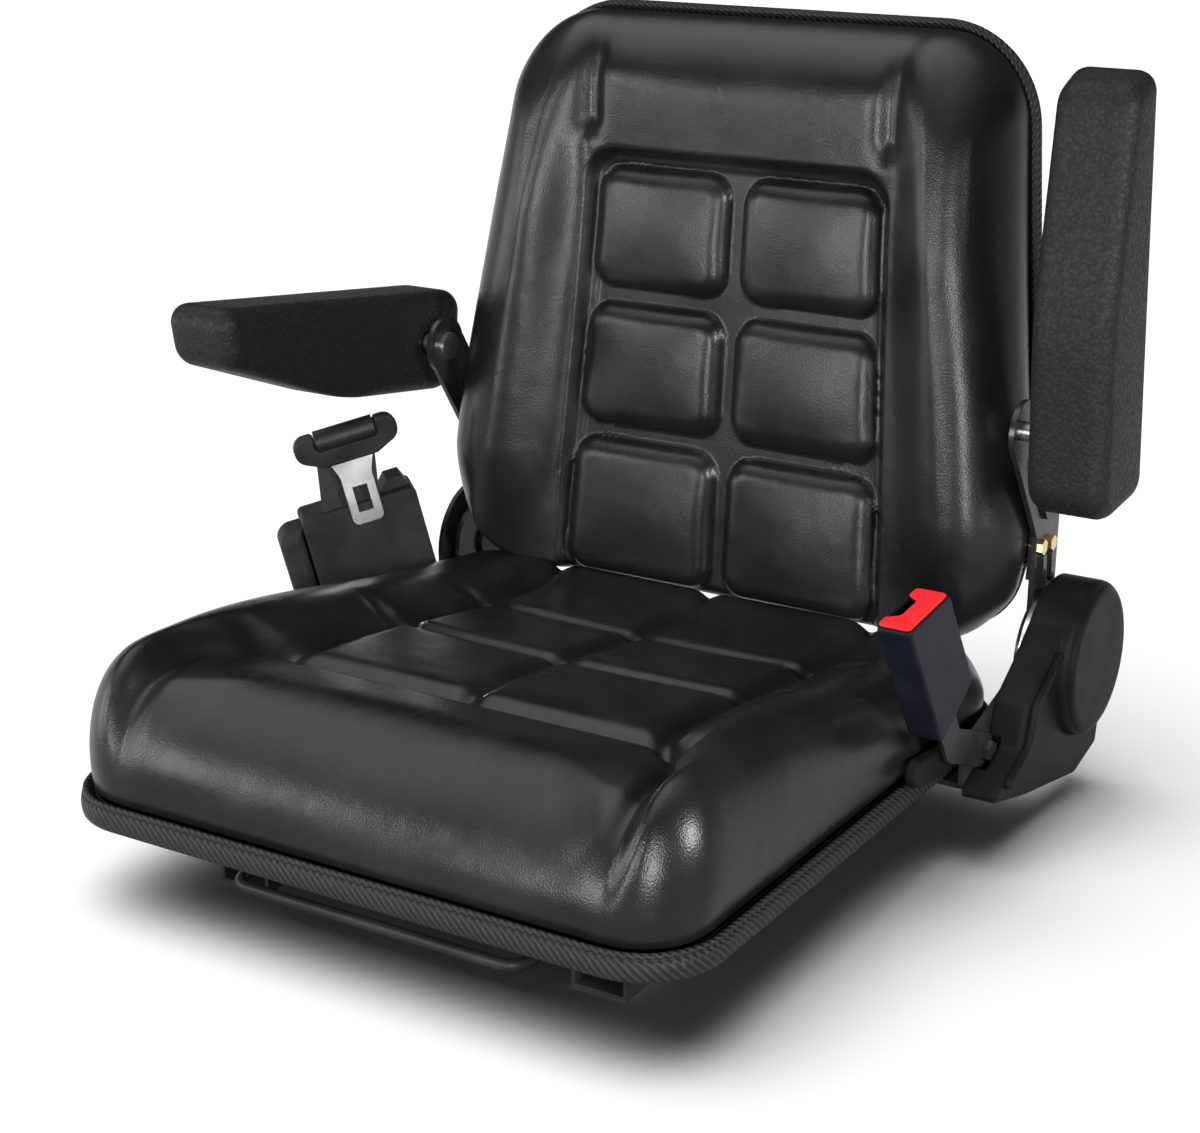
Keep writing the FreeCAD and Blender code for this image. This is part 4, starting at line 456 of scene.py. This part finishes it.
VINYL_PATCH = 0.07


def ease(low, high, value):
    """Runs smoothly from 0 to 1 as a value goes from low to high."""
    share = np.clip((value - low) / (high - low), 0, 1)
    return share * share * (3 - 2 * share)


def groove(distance, width):
    """A soft bell across a line: 1 on it and nearly 0 at twice the width from it."""
    return np.exp(-(distance / width) ** 2)


def cover_grid(rim, roll, tuck, rise, centre):
    """A grid of points over a moulded cushion: it leaves its rim, rolls over the edge and crowns."""
    flat = np.linspace(0, 1 - ROLL_SHARE, COVER_CELLS, endpoint=False)
    rolled = np.linspace(1 - ROLL_SHARE, 1, ROLL_CELLS + 1)
    half = np.concatenate([flat, rolled])
    line = np.concatenate([-half[:0:-1], half])
    u, v = np.meshgrid(line, line, indexing="ij")
    out = np.maximum(np.abs(u), np.abs(v))
    away = np.where(out == 0, 1, out)
    rim_x, rim_y = rim(u / away, v / away)
    span_x = rim_x - centre[0]
    span_y = rim_y - centre[1]
    reach = np.maximum(np.hypot(span_x, span_y), 1e-6)
    edge = roll(rim_x, rim_y)
    last = math.pi / 2 + tuck(rim_x, rim_y)
    turn = np.clip((out - 1 + ROLL_SHARE) / ROLL_SHARE, 0, 1) * last
    inset = edge * (np.sin(last) - np.sin(turn))
    inner = (1 - edge * np.sin(last) / reach) * out / (1 - ROLL_SHARE)
    share = np.where(out > 1 - ROLL_SHARE, 1 - inset / reach, inner)
    x = centre[0] + span_x * share
    y = centre[1] + span_y * share
    fullness = (np.cos(turn) - np.cos(last)) / (1 - np.cos(last))
    return x, y, rise(x, y) * fullness


def cushion_of(name, grid, depth, put):
    """Closes a cover grid with a short skirt behind its rim and a flat underside."""
    x, y, z = grid
    count = len(x)
    points = [put(*spot) for spot in zip(x.ravel(), y.ravel(), z.ravel())]
    faces = []
    for i in range(count - 1):
        for j in range(count - 1):
            here = i * count + j
            ahead = here + count
            faces.append((here, ahead, ahead + 1, here + 1))
    last = count - 1
    loop = [(i, 0) for i in range(last)] + [(last, j) for j in range(last)]
    loop += [(i, last) for i in range(last, 0, -1)] + [(0, j) for j in range(last, 0, -1)]
    first = len(points)
    for i, j in loop:
        points.append(put(x[i, j] * SKIRT_TAPER, y[i, j] * SKIRT_TAPER, -depth))
    turns = len(loop)
    for k, (i, j) in enumerate(loop):
        far_i, far_j = loop[(k + 1) % turns]
        faces.append((i * count + j, first + k, first + (k + 1) % turns, far_i * count + far_j))
    faces.append(tuple(first + k for k in range(turns - 1, -1, -1)))
    return piece_of(name, points, faces)


def corner_rim(across, along, half_width, half_length, corner):
    """Points on the edge of a box with rounded corners, from their shares across and along it."""
    x = across * half_width
    y = along * half_length
    past_x = np.abs(x) - (half_width - corner)
    past_y = np.abs(y) - (half_length - corner)
    cornered = (past_x > 0) & (past_y > 0)
    pull = corner / np.maximum(np.hypot(past_x, past_y), corner)
    x = np.where(cornered, np.sign(x) * (half_width - corner + past_x * pull), x)
    y = np.where(cornered, np.sign(y) * (half_length - corner + past_y * pull), y)
    return x, y


def seat_rim(across, along):
    """The cushion's edge, just inside the trim's bead."""
    half_width = SEAT_HALF_WIDTH - SEAT_RIM_INSET
    half_length = (SEAT_REAR - SEAT_FRONT) / 2 - SEAT_RIM_INSET
    x, y = corner_rim(across, along, half_width, half_length, SEAT_CORNER - SEAT_RIM_INSET)
    return x, y + (SEAT_REAR + SEAT_FRONT) / 2


def seat_roll(x, y):
    """How far in the edge rolls: wide at the front under the knees, tight at the sides and rear."""
    front = ease(-0.18, -0.25, y) * ease(0.235, 0.15, np.abs(x))
    return SIDE_ROLL + KNEE_ROLL * front - REAR_ROLL_LOSS * ease(0.17, 0.21, y)


def seat_tuck(x, y):
    """How far the roll turns under: the sides swell over the trim, the front and rear hardly."""
    sides = ease(-0.262, -0.20, y) * ease(0.21, 0.15, y)
    return math.radians(10) + math.radians(24) * sides


def seat_rise(x, y):
    """Height of the seat's skin above the trim."""
    side = np.abs(x)
    back = ease(-0.19, -0.10, y)
    crest = CREST_FRONT - CREST_FALL * ease(-0.16, 0.20, y)
    middle = MIDDLE_FRONT - MIDDLE_FALL * ease(-0.12, 0.16, y)
    crease = BOLSTER_FOOT - BOLSTER_FOOT_IN * back - BOLSTER_FOOT_IN_REAR * ease(-0.10, 0.20, y)
    slope = BOLSTER_SLOPE + BOLSTER_SLOPE_BEHIND * back
    bolster = ease(0, 1, (side - crease) / slope)
    inside = 1 - bolster
    height = middle + (crest - middle) * bolster
    height = height + THIGH_SWELL * groove(y - THIGH_SWELL_AT, THIGH_SWELL_WIDTH) * inside
    height = height + REAR_RIDGE * groove(y - REAR_RIDGE_AT, REAR_RIDGE_WIDTH) * inside
    height = height - BOLSTER_CREASE * groove(side - crease, CREASE_WIDTH)
    height = height - THIGH_CREASE * groove(y - THIGH_LINE, CREASE_WIDTH) * inside
    behind = ease(THIGH_LINE - 0.004, THIGH_LINE + 0.012, y) * inside
    for line in PAD_LINES:
        bowed = line + PAD_LINE_BOW * side * side
        height = height - PAD_CREASE * groove(y - bowed, PAD_CREASE_WIDTH) * behind
    height = height - PAD_CREASE * groove(x, PAD_CREASE_WIDTH) * behind
    return height


vinyl = Finish("black_vinyl_skin", Base_Color=VINYL_BLACK, Specular_IOR_Level=0.16)
vinyl.relief(vinyl.noise(VINYL_WAVE, 2.0), 0.0011)
vinyl.relief(vinyl.cells(VINYL_PEBBLE), 0.00010)
vinyl_cloud = vinyl.noise(VINYL_PATCH, 4.0)
vinyl.rough(vinyl.span(vinyl_cloud, 0.25, 0.32))
vinyl.colour(vinyl.colours(vinyl_cloud, (0.4, VINYL_BLACK), (0.75, VINYL_WORN)))

seat_skin = cushion_of("seat_cushion_skin",
                       cover_grid(seat_rim, seat_roll, seat_tuck, seat_rise, SEAT_CENTRE),
                       SEAT_SKIRT, lambda x, y, z: (x, y, TRIM_TOP + z))
seat_skin.data.materials.append(vinyl.material)
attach(seat_skin, "seat")
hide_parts("seat_cushion")

# Side brackets: thick steel plates bolted to the pan's underside, which carry the recline
# pivots, the buckle strap and the belt retractor. Black paint and blackened bolts.
bracket_paint = painted_steel("bracket_paint", roughness=0.36, coat=0.05)
dress(bracket_paint, "left_side_bracket", "right_side_bracket", "right_hinge_spacer",
      "retractor_bracket")
dress(black_oxide, "bracket_bolts", "recliner_pivot_bolt", "right_pivot_bolt", "recline_lever_pin",
      "buckle_anchor_bolt", "retractor_bracket_bolts")

# Recliner: a toothed sector on the back arm, the lever whose pawl drops into it, and a flat
# spiral spring round the pivot. Plated steel under a moulded cover with a rib along its front.
SPRING_GREY = (0.20, 0.20, 0.21, 1)
SPRING_TEMPER = (0.30, 0.29, 0.28, 1)
COVER_BLACK = (0.0035, 0.0035, 0.0038, 1)
COVER_WORN = (0.006, 0.006, 0.0064, 1)
MOULD_EDGE = 0.0015
MOULD_PATCH = 0.03
COVER_EDGE = 0.004
COVER_FACE = 0.279
RIB_ROOT = 0.0020
RIB_HEIGHT = 0.0048
RIB_EDGE = 0.0034
RIB_STEP = 0.0015
RIB_OUTLINE = [(0.1962, 0.1302), (0.1514, 0.1045), (0.1434, 0.0776), (0.1079, 0.0620),
               (0.1111, 0.0546), (0.1500, 0.0718), (0.1582, 0.0991), (0.2002, 0.1232)]
RIB_RADII = [0.0035, 0.016, 0.008, 0.0035, 0.0035, 0.016, 0.008, 0.0035]


def moulded_plastic(name, colour, worn, roughness, grain, depth, edge=MOULD_EDGE):
    """Plastic with soft edges, a fine pebbled grain of the given size and depth, and worn patches."""
    plastic = Finish(name, Base_Color=colour, Specular_IOR_Level=0.035)
    plastic.soft_edges(edge)
    plastic.relief(plastic.cells(grain), depth)
    cloud = plastic.noise(MOULD_PATCH, 4.0)
    plastic.rough(plastic.span(cloud, roughness - 0.05, roughness + 0.07))
    plastic.colour(plastic.colours(cloud, (0.4, colour), (0.75, worn)))
    return plastic


spring_steel = bright_steel("spring_steel", SPRING_GREY, SPRING_TEMPER, roughness=0.34)
dress(zinc_plate, "recliner_sector", "recline_lever")
dress(spring_steel, "recliner_spring")
cover_plastic = moulded_plastic("cover_plastic", COVER_BLACK, COVER_WORN, roughness=0.42,
                                grain=0.0009, depth=0.00008, edge=COVER_EDGE)
dress(cover_plastic, "recliner_cover", "recline_lever_grip")


def soft_block(name, outline, radii, step, low, high, edge, put):
    """A slab with the given side outline between two faces, its edges rounded over."""
    line, outward = rounded_loop(outline, radii, step)
    around = len(line)
    turns = np.radians(np.arange(0, 91, 10))
    rows = []
    for turn in turns:
        ring = line - outward * edge * (1 - math.sin(turn))
        rows.append((ring, high - edge * (1 - math.cos(turn))))
    rows += [(ring, low + high - level) for ring, level in reversed(rows)]
    points = [put(u, v, level) for ring, level in rows for u, v in ring]
    faces = []
    for row in range(len(rows) - 1):
        here = row * around
        below = here + around
        for k in range(around):
            far = (k + 1) % around
            faces.append((here + k, below + k, below + far, here + far))
    faces.append(tuple(range(around)))
    faces.append(tuple(len(points) - 1 - k for k in range(around)))
    block = piece_of(name, points, faces)
    shell = bmesh.new()
    shell.from_mesh(block.data)
    bmesh.ops.recalc_face_normals(shell, faces=shell.faces)
    shell.to_mesh(block.data)
    shell.free()
    return block


cover_rib = soft_block("cover_rib", RIB_OUTLINE, RIB_RADII, RIB_STEP, COVER_FACE - RIB_ROOT,
                       COVER_FACE + RIB_HEIGHT, RIB_EDGE, lambda y, z, across: (across, y, z))
cover_rib.data.materials.append(cover_plastic.material)
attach(cover_rib, "seat")

# Backrest shell: a tray pressed from steel sheet and painted black, leaning back five degrees
# on the recline pivots. The hinge lugs are bolted to its rear.
PIVOT = Vector((0.0, 0.250, 0.1075))
BACK_LEAN = math.radians(5)
dress(rail_paint, "backrest_shell", "left_back_lug", "right_back_lug")
dress(zinc_plate, "back_lug_bolts")


def on_back(x, height, forward):
    """A point of the leaning back, given across, up the back and out of its front."""
    return (x,
            PIVOT.y - forward * math.cos(BACK_LEAN) + height * math.sin(BACK_LEAN),
            PIVOT.z + forward * math.sin(BACK_LEAN) + height * math.cos(BACK_LEAN))


# Backrest edge trim: the same knurled strip as on the seat, pushed over the shell's rim. Its
# smooth bead lies at the front, against the cushion.
BACK_CORNERS = [(-0.212, 0.012), (0.212, 0.012), (0.228, 0.100), (0.196, 0.434), (-0.196, 0.434),
                (-0.228, 0.100)]
BACK_RADII = [0.045, 0.045, 0.160, 0.070, 0.070, 0.160]
BACK_TRIM_WALL = 0.007
BACK_TRIM_FRONT = 0.006
BACK_TRIM_REAR = -0.007
BACK_BEAD = 0.0036
back_line, back_outward = rounded_loop(BACK_CORNERS, BACK_RADII, TRIM_STEP)
back_trim = welt("back_trim_strip", back_line + back_outward * BACK_TRIM_WALL, back_outward,
                 knurled_face(BACK_TRIM_REAR, BACK_TRIM_FRONT, BACK_BEAD), on_back)
back_trim.data.materials.append(trim_rubber.material)
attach(back_trim, "backrest")
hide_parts("backrest_edge_trim")

# Back cushion: the same moulded foam and vinyl skin. Side bolsters stand forward of a middle
# panel, a smooth head roll crosses the top, and six raised pads lie in a shallow recess below it.
BACK_TRIM_TOP = 0.0063
BACK_CENTRE = (0.0, 0.220)
BACK_LOW = 0.003
BACK_HIGH = 0.434
BACK_HALF_LOW = 0.219
BACK_SWELL = 0.010
BACK_WIDEST_AT = 0.095
BACK_NARROWING = 0.030
RIM_HALF = 0.2
TOP_CORNER = 0.060
BOTTOM_CORNER = 0.045
BACK_ROLL = 0.048
TOP_ROLL_MORE = 0.014
BOTTOM_ROLL_LOSS = 0.036
BACK_FACE = 0.050
PANEL_HALF = 0.139
PANEL_NARROWING = 0.017
CREST_HALF = 0.198
CREST_LEAN = 0.042 / 0.30
CREST_FROM = 0.07
BOLSTER_RISE = 0.026
HEAD_SWELL = 0.004
HEAD_SWELL_AT = 0.385
HEAD_SWELL_WIDTH = 0.05
HEAD_CREASE = 0.007
HEAD_CREASE_WIDTH = 0.009
RECESS_FLOOR = 0.0375
RECESS_TOP = 0.333
RECESS_CORNER = 0.022
RECESS_LIP = 0.0022
RECESS_LIP_AT = 0.0065
PAD_ROWS = ((0.006, 0.114), (0.125, 0.219), (0.230, 0.322))
PAD_GAP = 0.0055
PAD_SIDE_GAP = 0.006
PAD_CORNER = 0.020
PAD_EDGE = 0.015
PAD_RISE = 0.0115
PAD_DOME = 0.0042
BACK_SKIRT = 0.004


def back_half(height):
    """Half the back's width: widest low down, narrowing to the top."""
    low = BACK_HALF_LOW + BACK_SWELL * ease(0.0, BACK_WIDEST_AT, height)
    climb = (height - BACK_WIDEST_AT) / (BACK_HIGH - BACK_WIDEST_AT)
    high = BACK_HALF_LOW + BACK_SWELL - BACK_NARROWING * climb
    return np.where(height < BACK_WIDEST_AT, low, high)


def back_rim(across, along):
    """The back cushion's edge, with wider corners at its top."""
    half_height = (BACK_HIGH - BACK_LOW) / 2
    corner = np.where(along > 0, TOP_CORNER, BOTTOM_CORNER)
    x, y = corner_rim(across, along, RIM_HALF, half_height, corner)
    height = y + (BACK_LOW + BACK_HIGH) / 2
    return x / RIM_HALF * back_half(height), height


def back_roll(x, height):
    """How far in the edge rolls: wide over the top, tight under the bottom pads."""
    top = TOP_ROLL_MORE * ease(0.36, 0.43, height)
    return BACK_ROLL + top - BOTTOM_ROLL_LOSS * ease(0.06, 0.02, height)


def back_tuck(x, height):
    """How far the roll turns under: the bolsters swell over the trim low down, not at the top."""
    return math.radians(6) + math.radians(34) * ease(0.42, 0.10, height)


def inside_box(across, up, corner):
    """How far inside a round-cornered box a point lies, from its distances to the nearest sides."""
    return corner - np.hypot(np.maximum(corner - across, 0), np.maximum(corner - up, 0))


def back_rise(x, height):
    """How far the back's skin stands forward of the trim."""
    side = np.abs(x)
    wall = PANEL_HALF - PANEL_NARROWING * ease(-0.05, 0.36, height)
    crest_at = CREST_HALF - CREST_LEAN * (height - CREST_FROM)
    low_end = ease(-0.02, 0.10, height)
    bolster_high = BACK_FACE + BOLSTER_RISE * low_end * (1 - 0.6 * ease(0.27, 0.43, height))
    head = BACK_FACE + HEAD_SWELL * groove(height - HEAD_SWELL_AT, HEAD_SWELL_WIDTH)
    climb = ease(0, 1, (side - wall) / np.maximum(crest_at - wall, 0.02))
    face = head + (np.maximum(bolster_high, head) - head) * climb
    within = inside_box(wall - side, RECESS_TOP - height, RECESS_CORNER)
    recess = face + (RECESS_FLOOR - face) * ease(-0.004, 0.007, within)
    recess = recess + RECESS_LIP * groove(within - RECESS_LIP_AT, RECESS_LIP)
    pad_wall = wall - PAD_SIDE_GAP
    for low, high in PAD_ROWS:
        edge_x = np.minimum(side - PAD_GAP, pad_wall - side)
        edge_z = np.minimum(height - low, high - height)
        inside = inside_box(edge_x, edge_z, PAD_CORNER)
        middle_x = (side - (pad_wall + PAD_GAP) / 2) / ((pad_wall - PAD_GAP) / 2)
        middle_z = (height - (low + high) / 2) / ((high - low) / 2)
        dome = PAD_DOME * np.clip(1 - middle_x ** 2, 0, 1) * np.clip(1 - middle_z ** 2, 0, 1)
        roll_over = np.sqrt(np.clip(1 - (1 - np.clip(inside / PAD_EDGE, 0, 1)) ** 2, 0, 1))
        recess = recess + PAD_RISE * roll_over + dome
    beside_head = ease(RECESS_TOP, 0.36, height) * ease(0.43, 0.39, height)
    crease = HEAD_CREASE * groove(side - wall, HEAD_CREASE_WIDTH) * beside_head
    return recess - crease


back_skin = cushion_of("back_cushion_skin",
                       cover_grid(back_rim, back_roll, back_tuck, back_rise, BACK_CENTRE),
                       BACK_SKIRT, lambda x, y, z: on_back(x, y, BACK_TRIM_TOP + z))
back_skin.data.materials.append(vinyl.material)
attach(back_skin, "backrest")
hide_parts("backrest_cushion")

# Back arms: ribbed steel plates at both sides, painted satin black and held to the lugs by
# yellow passivated hexagon screws. They carry the armrest pivots.
YELLOW_ZINC = (0.62, 0.47, 0.18, 1)
YELLOW_PALE = (0.70, 0.58, 0.34, 1)
arm_paint = painted_steel("arm_paint", roughness=0.22, coat=0.1)
yellow_zinc = bright_steel("yellow_zinc", YELLOW_ZINC, YELLOW_PALE, roughness=0.25)
dress(arm_paint, "left_back_arm", "right_back_arm")
dress(yellow_zinc, "back_arm_screws")

# Armrests: moulded foam with a coarse pebbled skin, flat on top and deep below. Each turns on a
# nylon bush round its pivot pin, and the sitter's left one is folded up.
ARMREST_BLACK = (0.004, 0.004, 0.0044, 1)
ARMREST_WORN = (0.008, 0.008, 0.0084, 1)
ARMREST_PIVOT = Vector((0.0, 0.199068, 0.282605))
ARMREST_OUTLINE = [(-0.252, 0.039), (-0.239, -0.004), (-0.0923, -0.039), (0.048, -0.041),
                   (0.048, 0.039)]
ARMREST_RADII = [0.0135, 0.020, 0.230, 0.026, 0.018]
ARMREST_INSIDE = 0.259
ARMREST_OUTSIDE = 0.317
ARMREST_EDGE = 0.013
ARMREST_STEP = 0.003
ARMREST_UP = 85
ARMREST_DOWN = 7.5
ARMREST_PEBBLE = 0.0026


def on_armrest(side, raised):
    """Gives the place of a point of the armrest on one side, raised by the given degrees."""
    lean = Matrix.Rotation(math.radians(-raised), 3, "X")
    return lambda y, z, across: (side * across, *(ARMREST_PIVOT + lean @ Vector((0, y, z)))[1:])


armrest_skin = Finish("armrest_skin", Base_Color=ARMREST_BLACK, Specular_IOR_Level=0.10)
pebbles = armrest_skin.cells(ARMREST_PEBBLE)
armrest_skin.relief(pebbles, 0.00035)
armrest_skin.relief(armrest_skin.noise(0.0011), 0.00010)
armrest_skin.rough(armrest_skin.span(pebbles, 0.44, 0.60, 0.1, 0.6))
armrest_skin.colour(armrest_skin.colours(pebbles, (0.15, ARMREST_WORN), (0.6, ARMREST_BLACK)))
for hand, side, raised in (("left", 1, ARMREST_UP), ("right", -1, ARMREST_DOWN)):
    armrest = soft_block(hand + "_armrest_skin", ARMREST_OUTLINE, ARMREST_RADII, ARMREST_STEP,
                         ARMREST_INSIDE, ARMREST_OUTSIDE, ARMREST_EDGE, on_armrest(side, raised))
    armrest.data.materials.append(armrest_skin.material)
    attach(armrest, hand + "_armrest")
    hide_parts(hand + "_armrest_pad")
dress(glide_nylon, "left_armrest_bush", "right_armrest_bush")
dress(zinc_plate, "left_armrest_pin", "right_armrest_pin")

# Buckle: a blue-black moulded case on a steel strap, with a red release button in its top and
# the slot for the tongue. The strap is bolted to the left bracket.
BUCKLE_BLACK = (0.0035, 0.004, 0.0065, 1)
BUCKLE_WORN = (0.006, 0.0066, 0.0095, 1)
BUTTON_RED = (0.52, 0.012, 0.014, 1)
BUTTON_WORN = (0.60, 0.020, 0.020, 1)
BUCKLE_AT = Vector((0.256, 0.049, 0.132))
BUCKLE_LEAN = Matrix.Rotation(math.radians(32), 3, "X")
BUCKLE_SLOPE = 0.4727
BUCKLE_TOP = 0.099
BUTTON_OUTLINE = [(0.0108, -0.0262), (0.0108, 0.0262), (-0.0106, 0.0262), (-0.0106, 0.0160),
                  (-0.0022, 0.0105), (-0.0022, -0.0105), (-0.0106, -0.0160), (-0.0106, -0.0262)]
BUTTON_RADII = [0.003, 0.003, 0.003, 0.0012, 0.005, 0.005, 0.0012, 0.003]
BUTTON_STEP = 0.0008
BUTTON_ROOT = -0.0004
BUTTON_TOP = 0.0021
BUTTON_EDGE = 0.0008


def on_buckle_top(x, y, above):
    """A point over the buckle's slanted top, in the leaning buckle's own frame."""
    return BUCKLE_AT + BUCKLE_LEAN @ Vector((x, y, BUCKLE_TOP - y * BUCKLE_SLOPE + above))


buckle_plastic = moulded_plastic("buckle_plastic", BUCKLE_BLACK, BUCKLE_WORN, roughness=0.34,
                                 grain=0.0007, depth=0.00006)
button_plastic = moulded_plastic("button_plastic", BUTTON_RED, BUTTON_WORN, roughness=0.32,
                                 grain=0.0007, depth=0.00003)
button_face = soft_block("button_face", BUTTON_OUTLINE, BUTTON_RADII, BUTTON_STEP, BUTTON_ROOT,
                         BUTTON_TOP, BUTTON_EDGE, on_buckle_top)
button_face.data.materials.append(button_plastic.material)
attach(button_face, "buckle_button")
dress(bracket_paint, "buckle_anchor_strap")
dress(buckle_plastic, "buckle_case")
dress(button_plastic, "buckle_button")
dress(spring_steel, "buckle_spring")

# Belt: black webbing that winds on a spool in a moulded retractor, with a steel tongue in a
# moulded head. The retractor is screwed to a bent bracket on the right.
RETRACTOR_BLACK = (0.010, 0.010, 0.0107, 1)
RETRACTOR_WORN = (0.016, 0.016, 0.017, 1)
TONGUE_BLACK = (0.009, 0.009, 0.010, 1)
TONGUE_WORN = (0.016, 0.016, 0.017, 1)
TONGUE_STEEL = (0.80, 0.80, 0.81, 1)
TONGUE_PALE = (0.88, 0.88, 0.89, 1)
WEBBING_BLACK = (0.005, 0.005, 0.0055, 1)
RETRACTOR_AT = Vector((-0.279, 0.132, 0.140))
RETRACTOR_TURN = (Matrix.Rotation(math.radians(45), 3, "Z")
                  @ Matrix.Rotation(math.radians(-14), 3, "Y"))
HEAD_OUTLINE = [(-0.013, 0.0604), (0.029, 0.0604), (0.0495, 0.0700), (0.0495, 0.0895),
                (0.0319, 0.0895), (0.0319, 0.0760), (-0.0159, 0.0760), (-0.0159, 0.0895),
                (-0.0335, 0.0895), (-0.0335, 0.0700)]
HEAD_RADII = [0.010, 0.010, 0.011, 0.010, 0.0036, 0.0015, 0.0015, 0.0036, 0.010, 0.011]
HEAD_STEP = 0.0012
HEAD_FRONT = -0.0064
HEAD_REAR = 0.0053
HEAD_EDGE = 0.0028


def on_retractor(x, z, depth):
    """A point of the turned and leaning retractor, given across, up and back from its front."""
    return RETRACTOR_AT + RETRACTOR_TURN @ Vector((x, depth, z))


retractor_plastic = moulded_plastic("retractor_plastic", RETRACTOR_BLACK, RETRACTOR_WORN,
                                    roughness=0.48, grain=0.0008, depth=0.0001)
tongue_plastic = moulded_plastic("tongue_plastic", TONGUE_BLACK, TONGUE_WORN, roughness=0.26,
                                 grain=0.0008, depth=0.00004)
tongue_steel = bright_steel("tongue_steel", TONGUE_STEEL, TONGUE_PALE, roughness=0.22)
belt_weave = Finish("belt_weave", Base_Color=WEBBING_BLACK, Specular_IOR_Level=0.2)
belt_weave.relief(belt_weave.noise(0.0012), 0.0003)
belt_weave.rough(belt_weave.span(belt_weave.noise(0.002), 0.40, 0.52))
dress(retractor_plastic, "retractor_cover", "retractor_spring_cap", "retractor_spool")
dress(zinc_plate, "retractor_frame")
dress(belt_weave, "belt_webbing")
dress(tongue_steel, "tongue_plate")
tongue_head = soft_block("tongue_head", HEAD_OUTLINE, HEAD_RADII, HEAD_STEP, HEAD_FRONT, HEAD_REAR,
                         HEAD_EDGE, on_retractor)
tongue_head.data.materials.append(tongue_plastic.material)
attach(tongue_head, "seat")
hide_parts("tongue_cover")
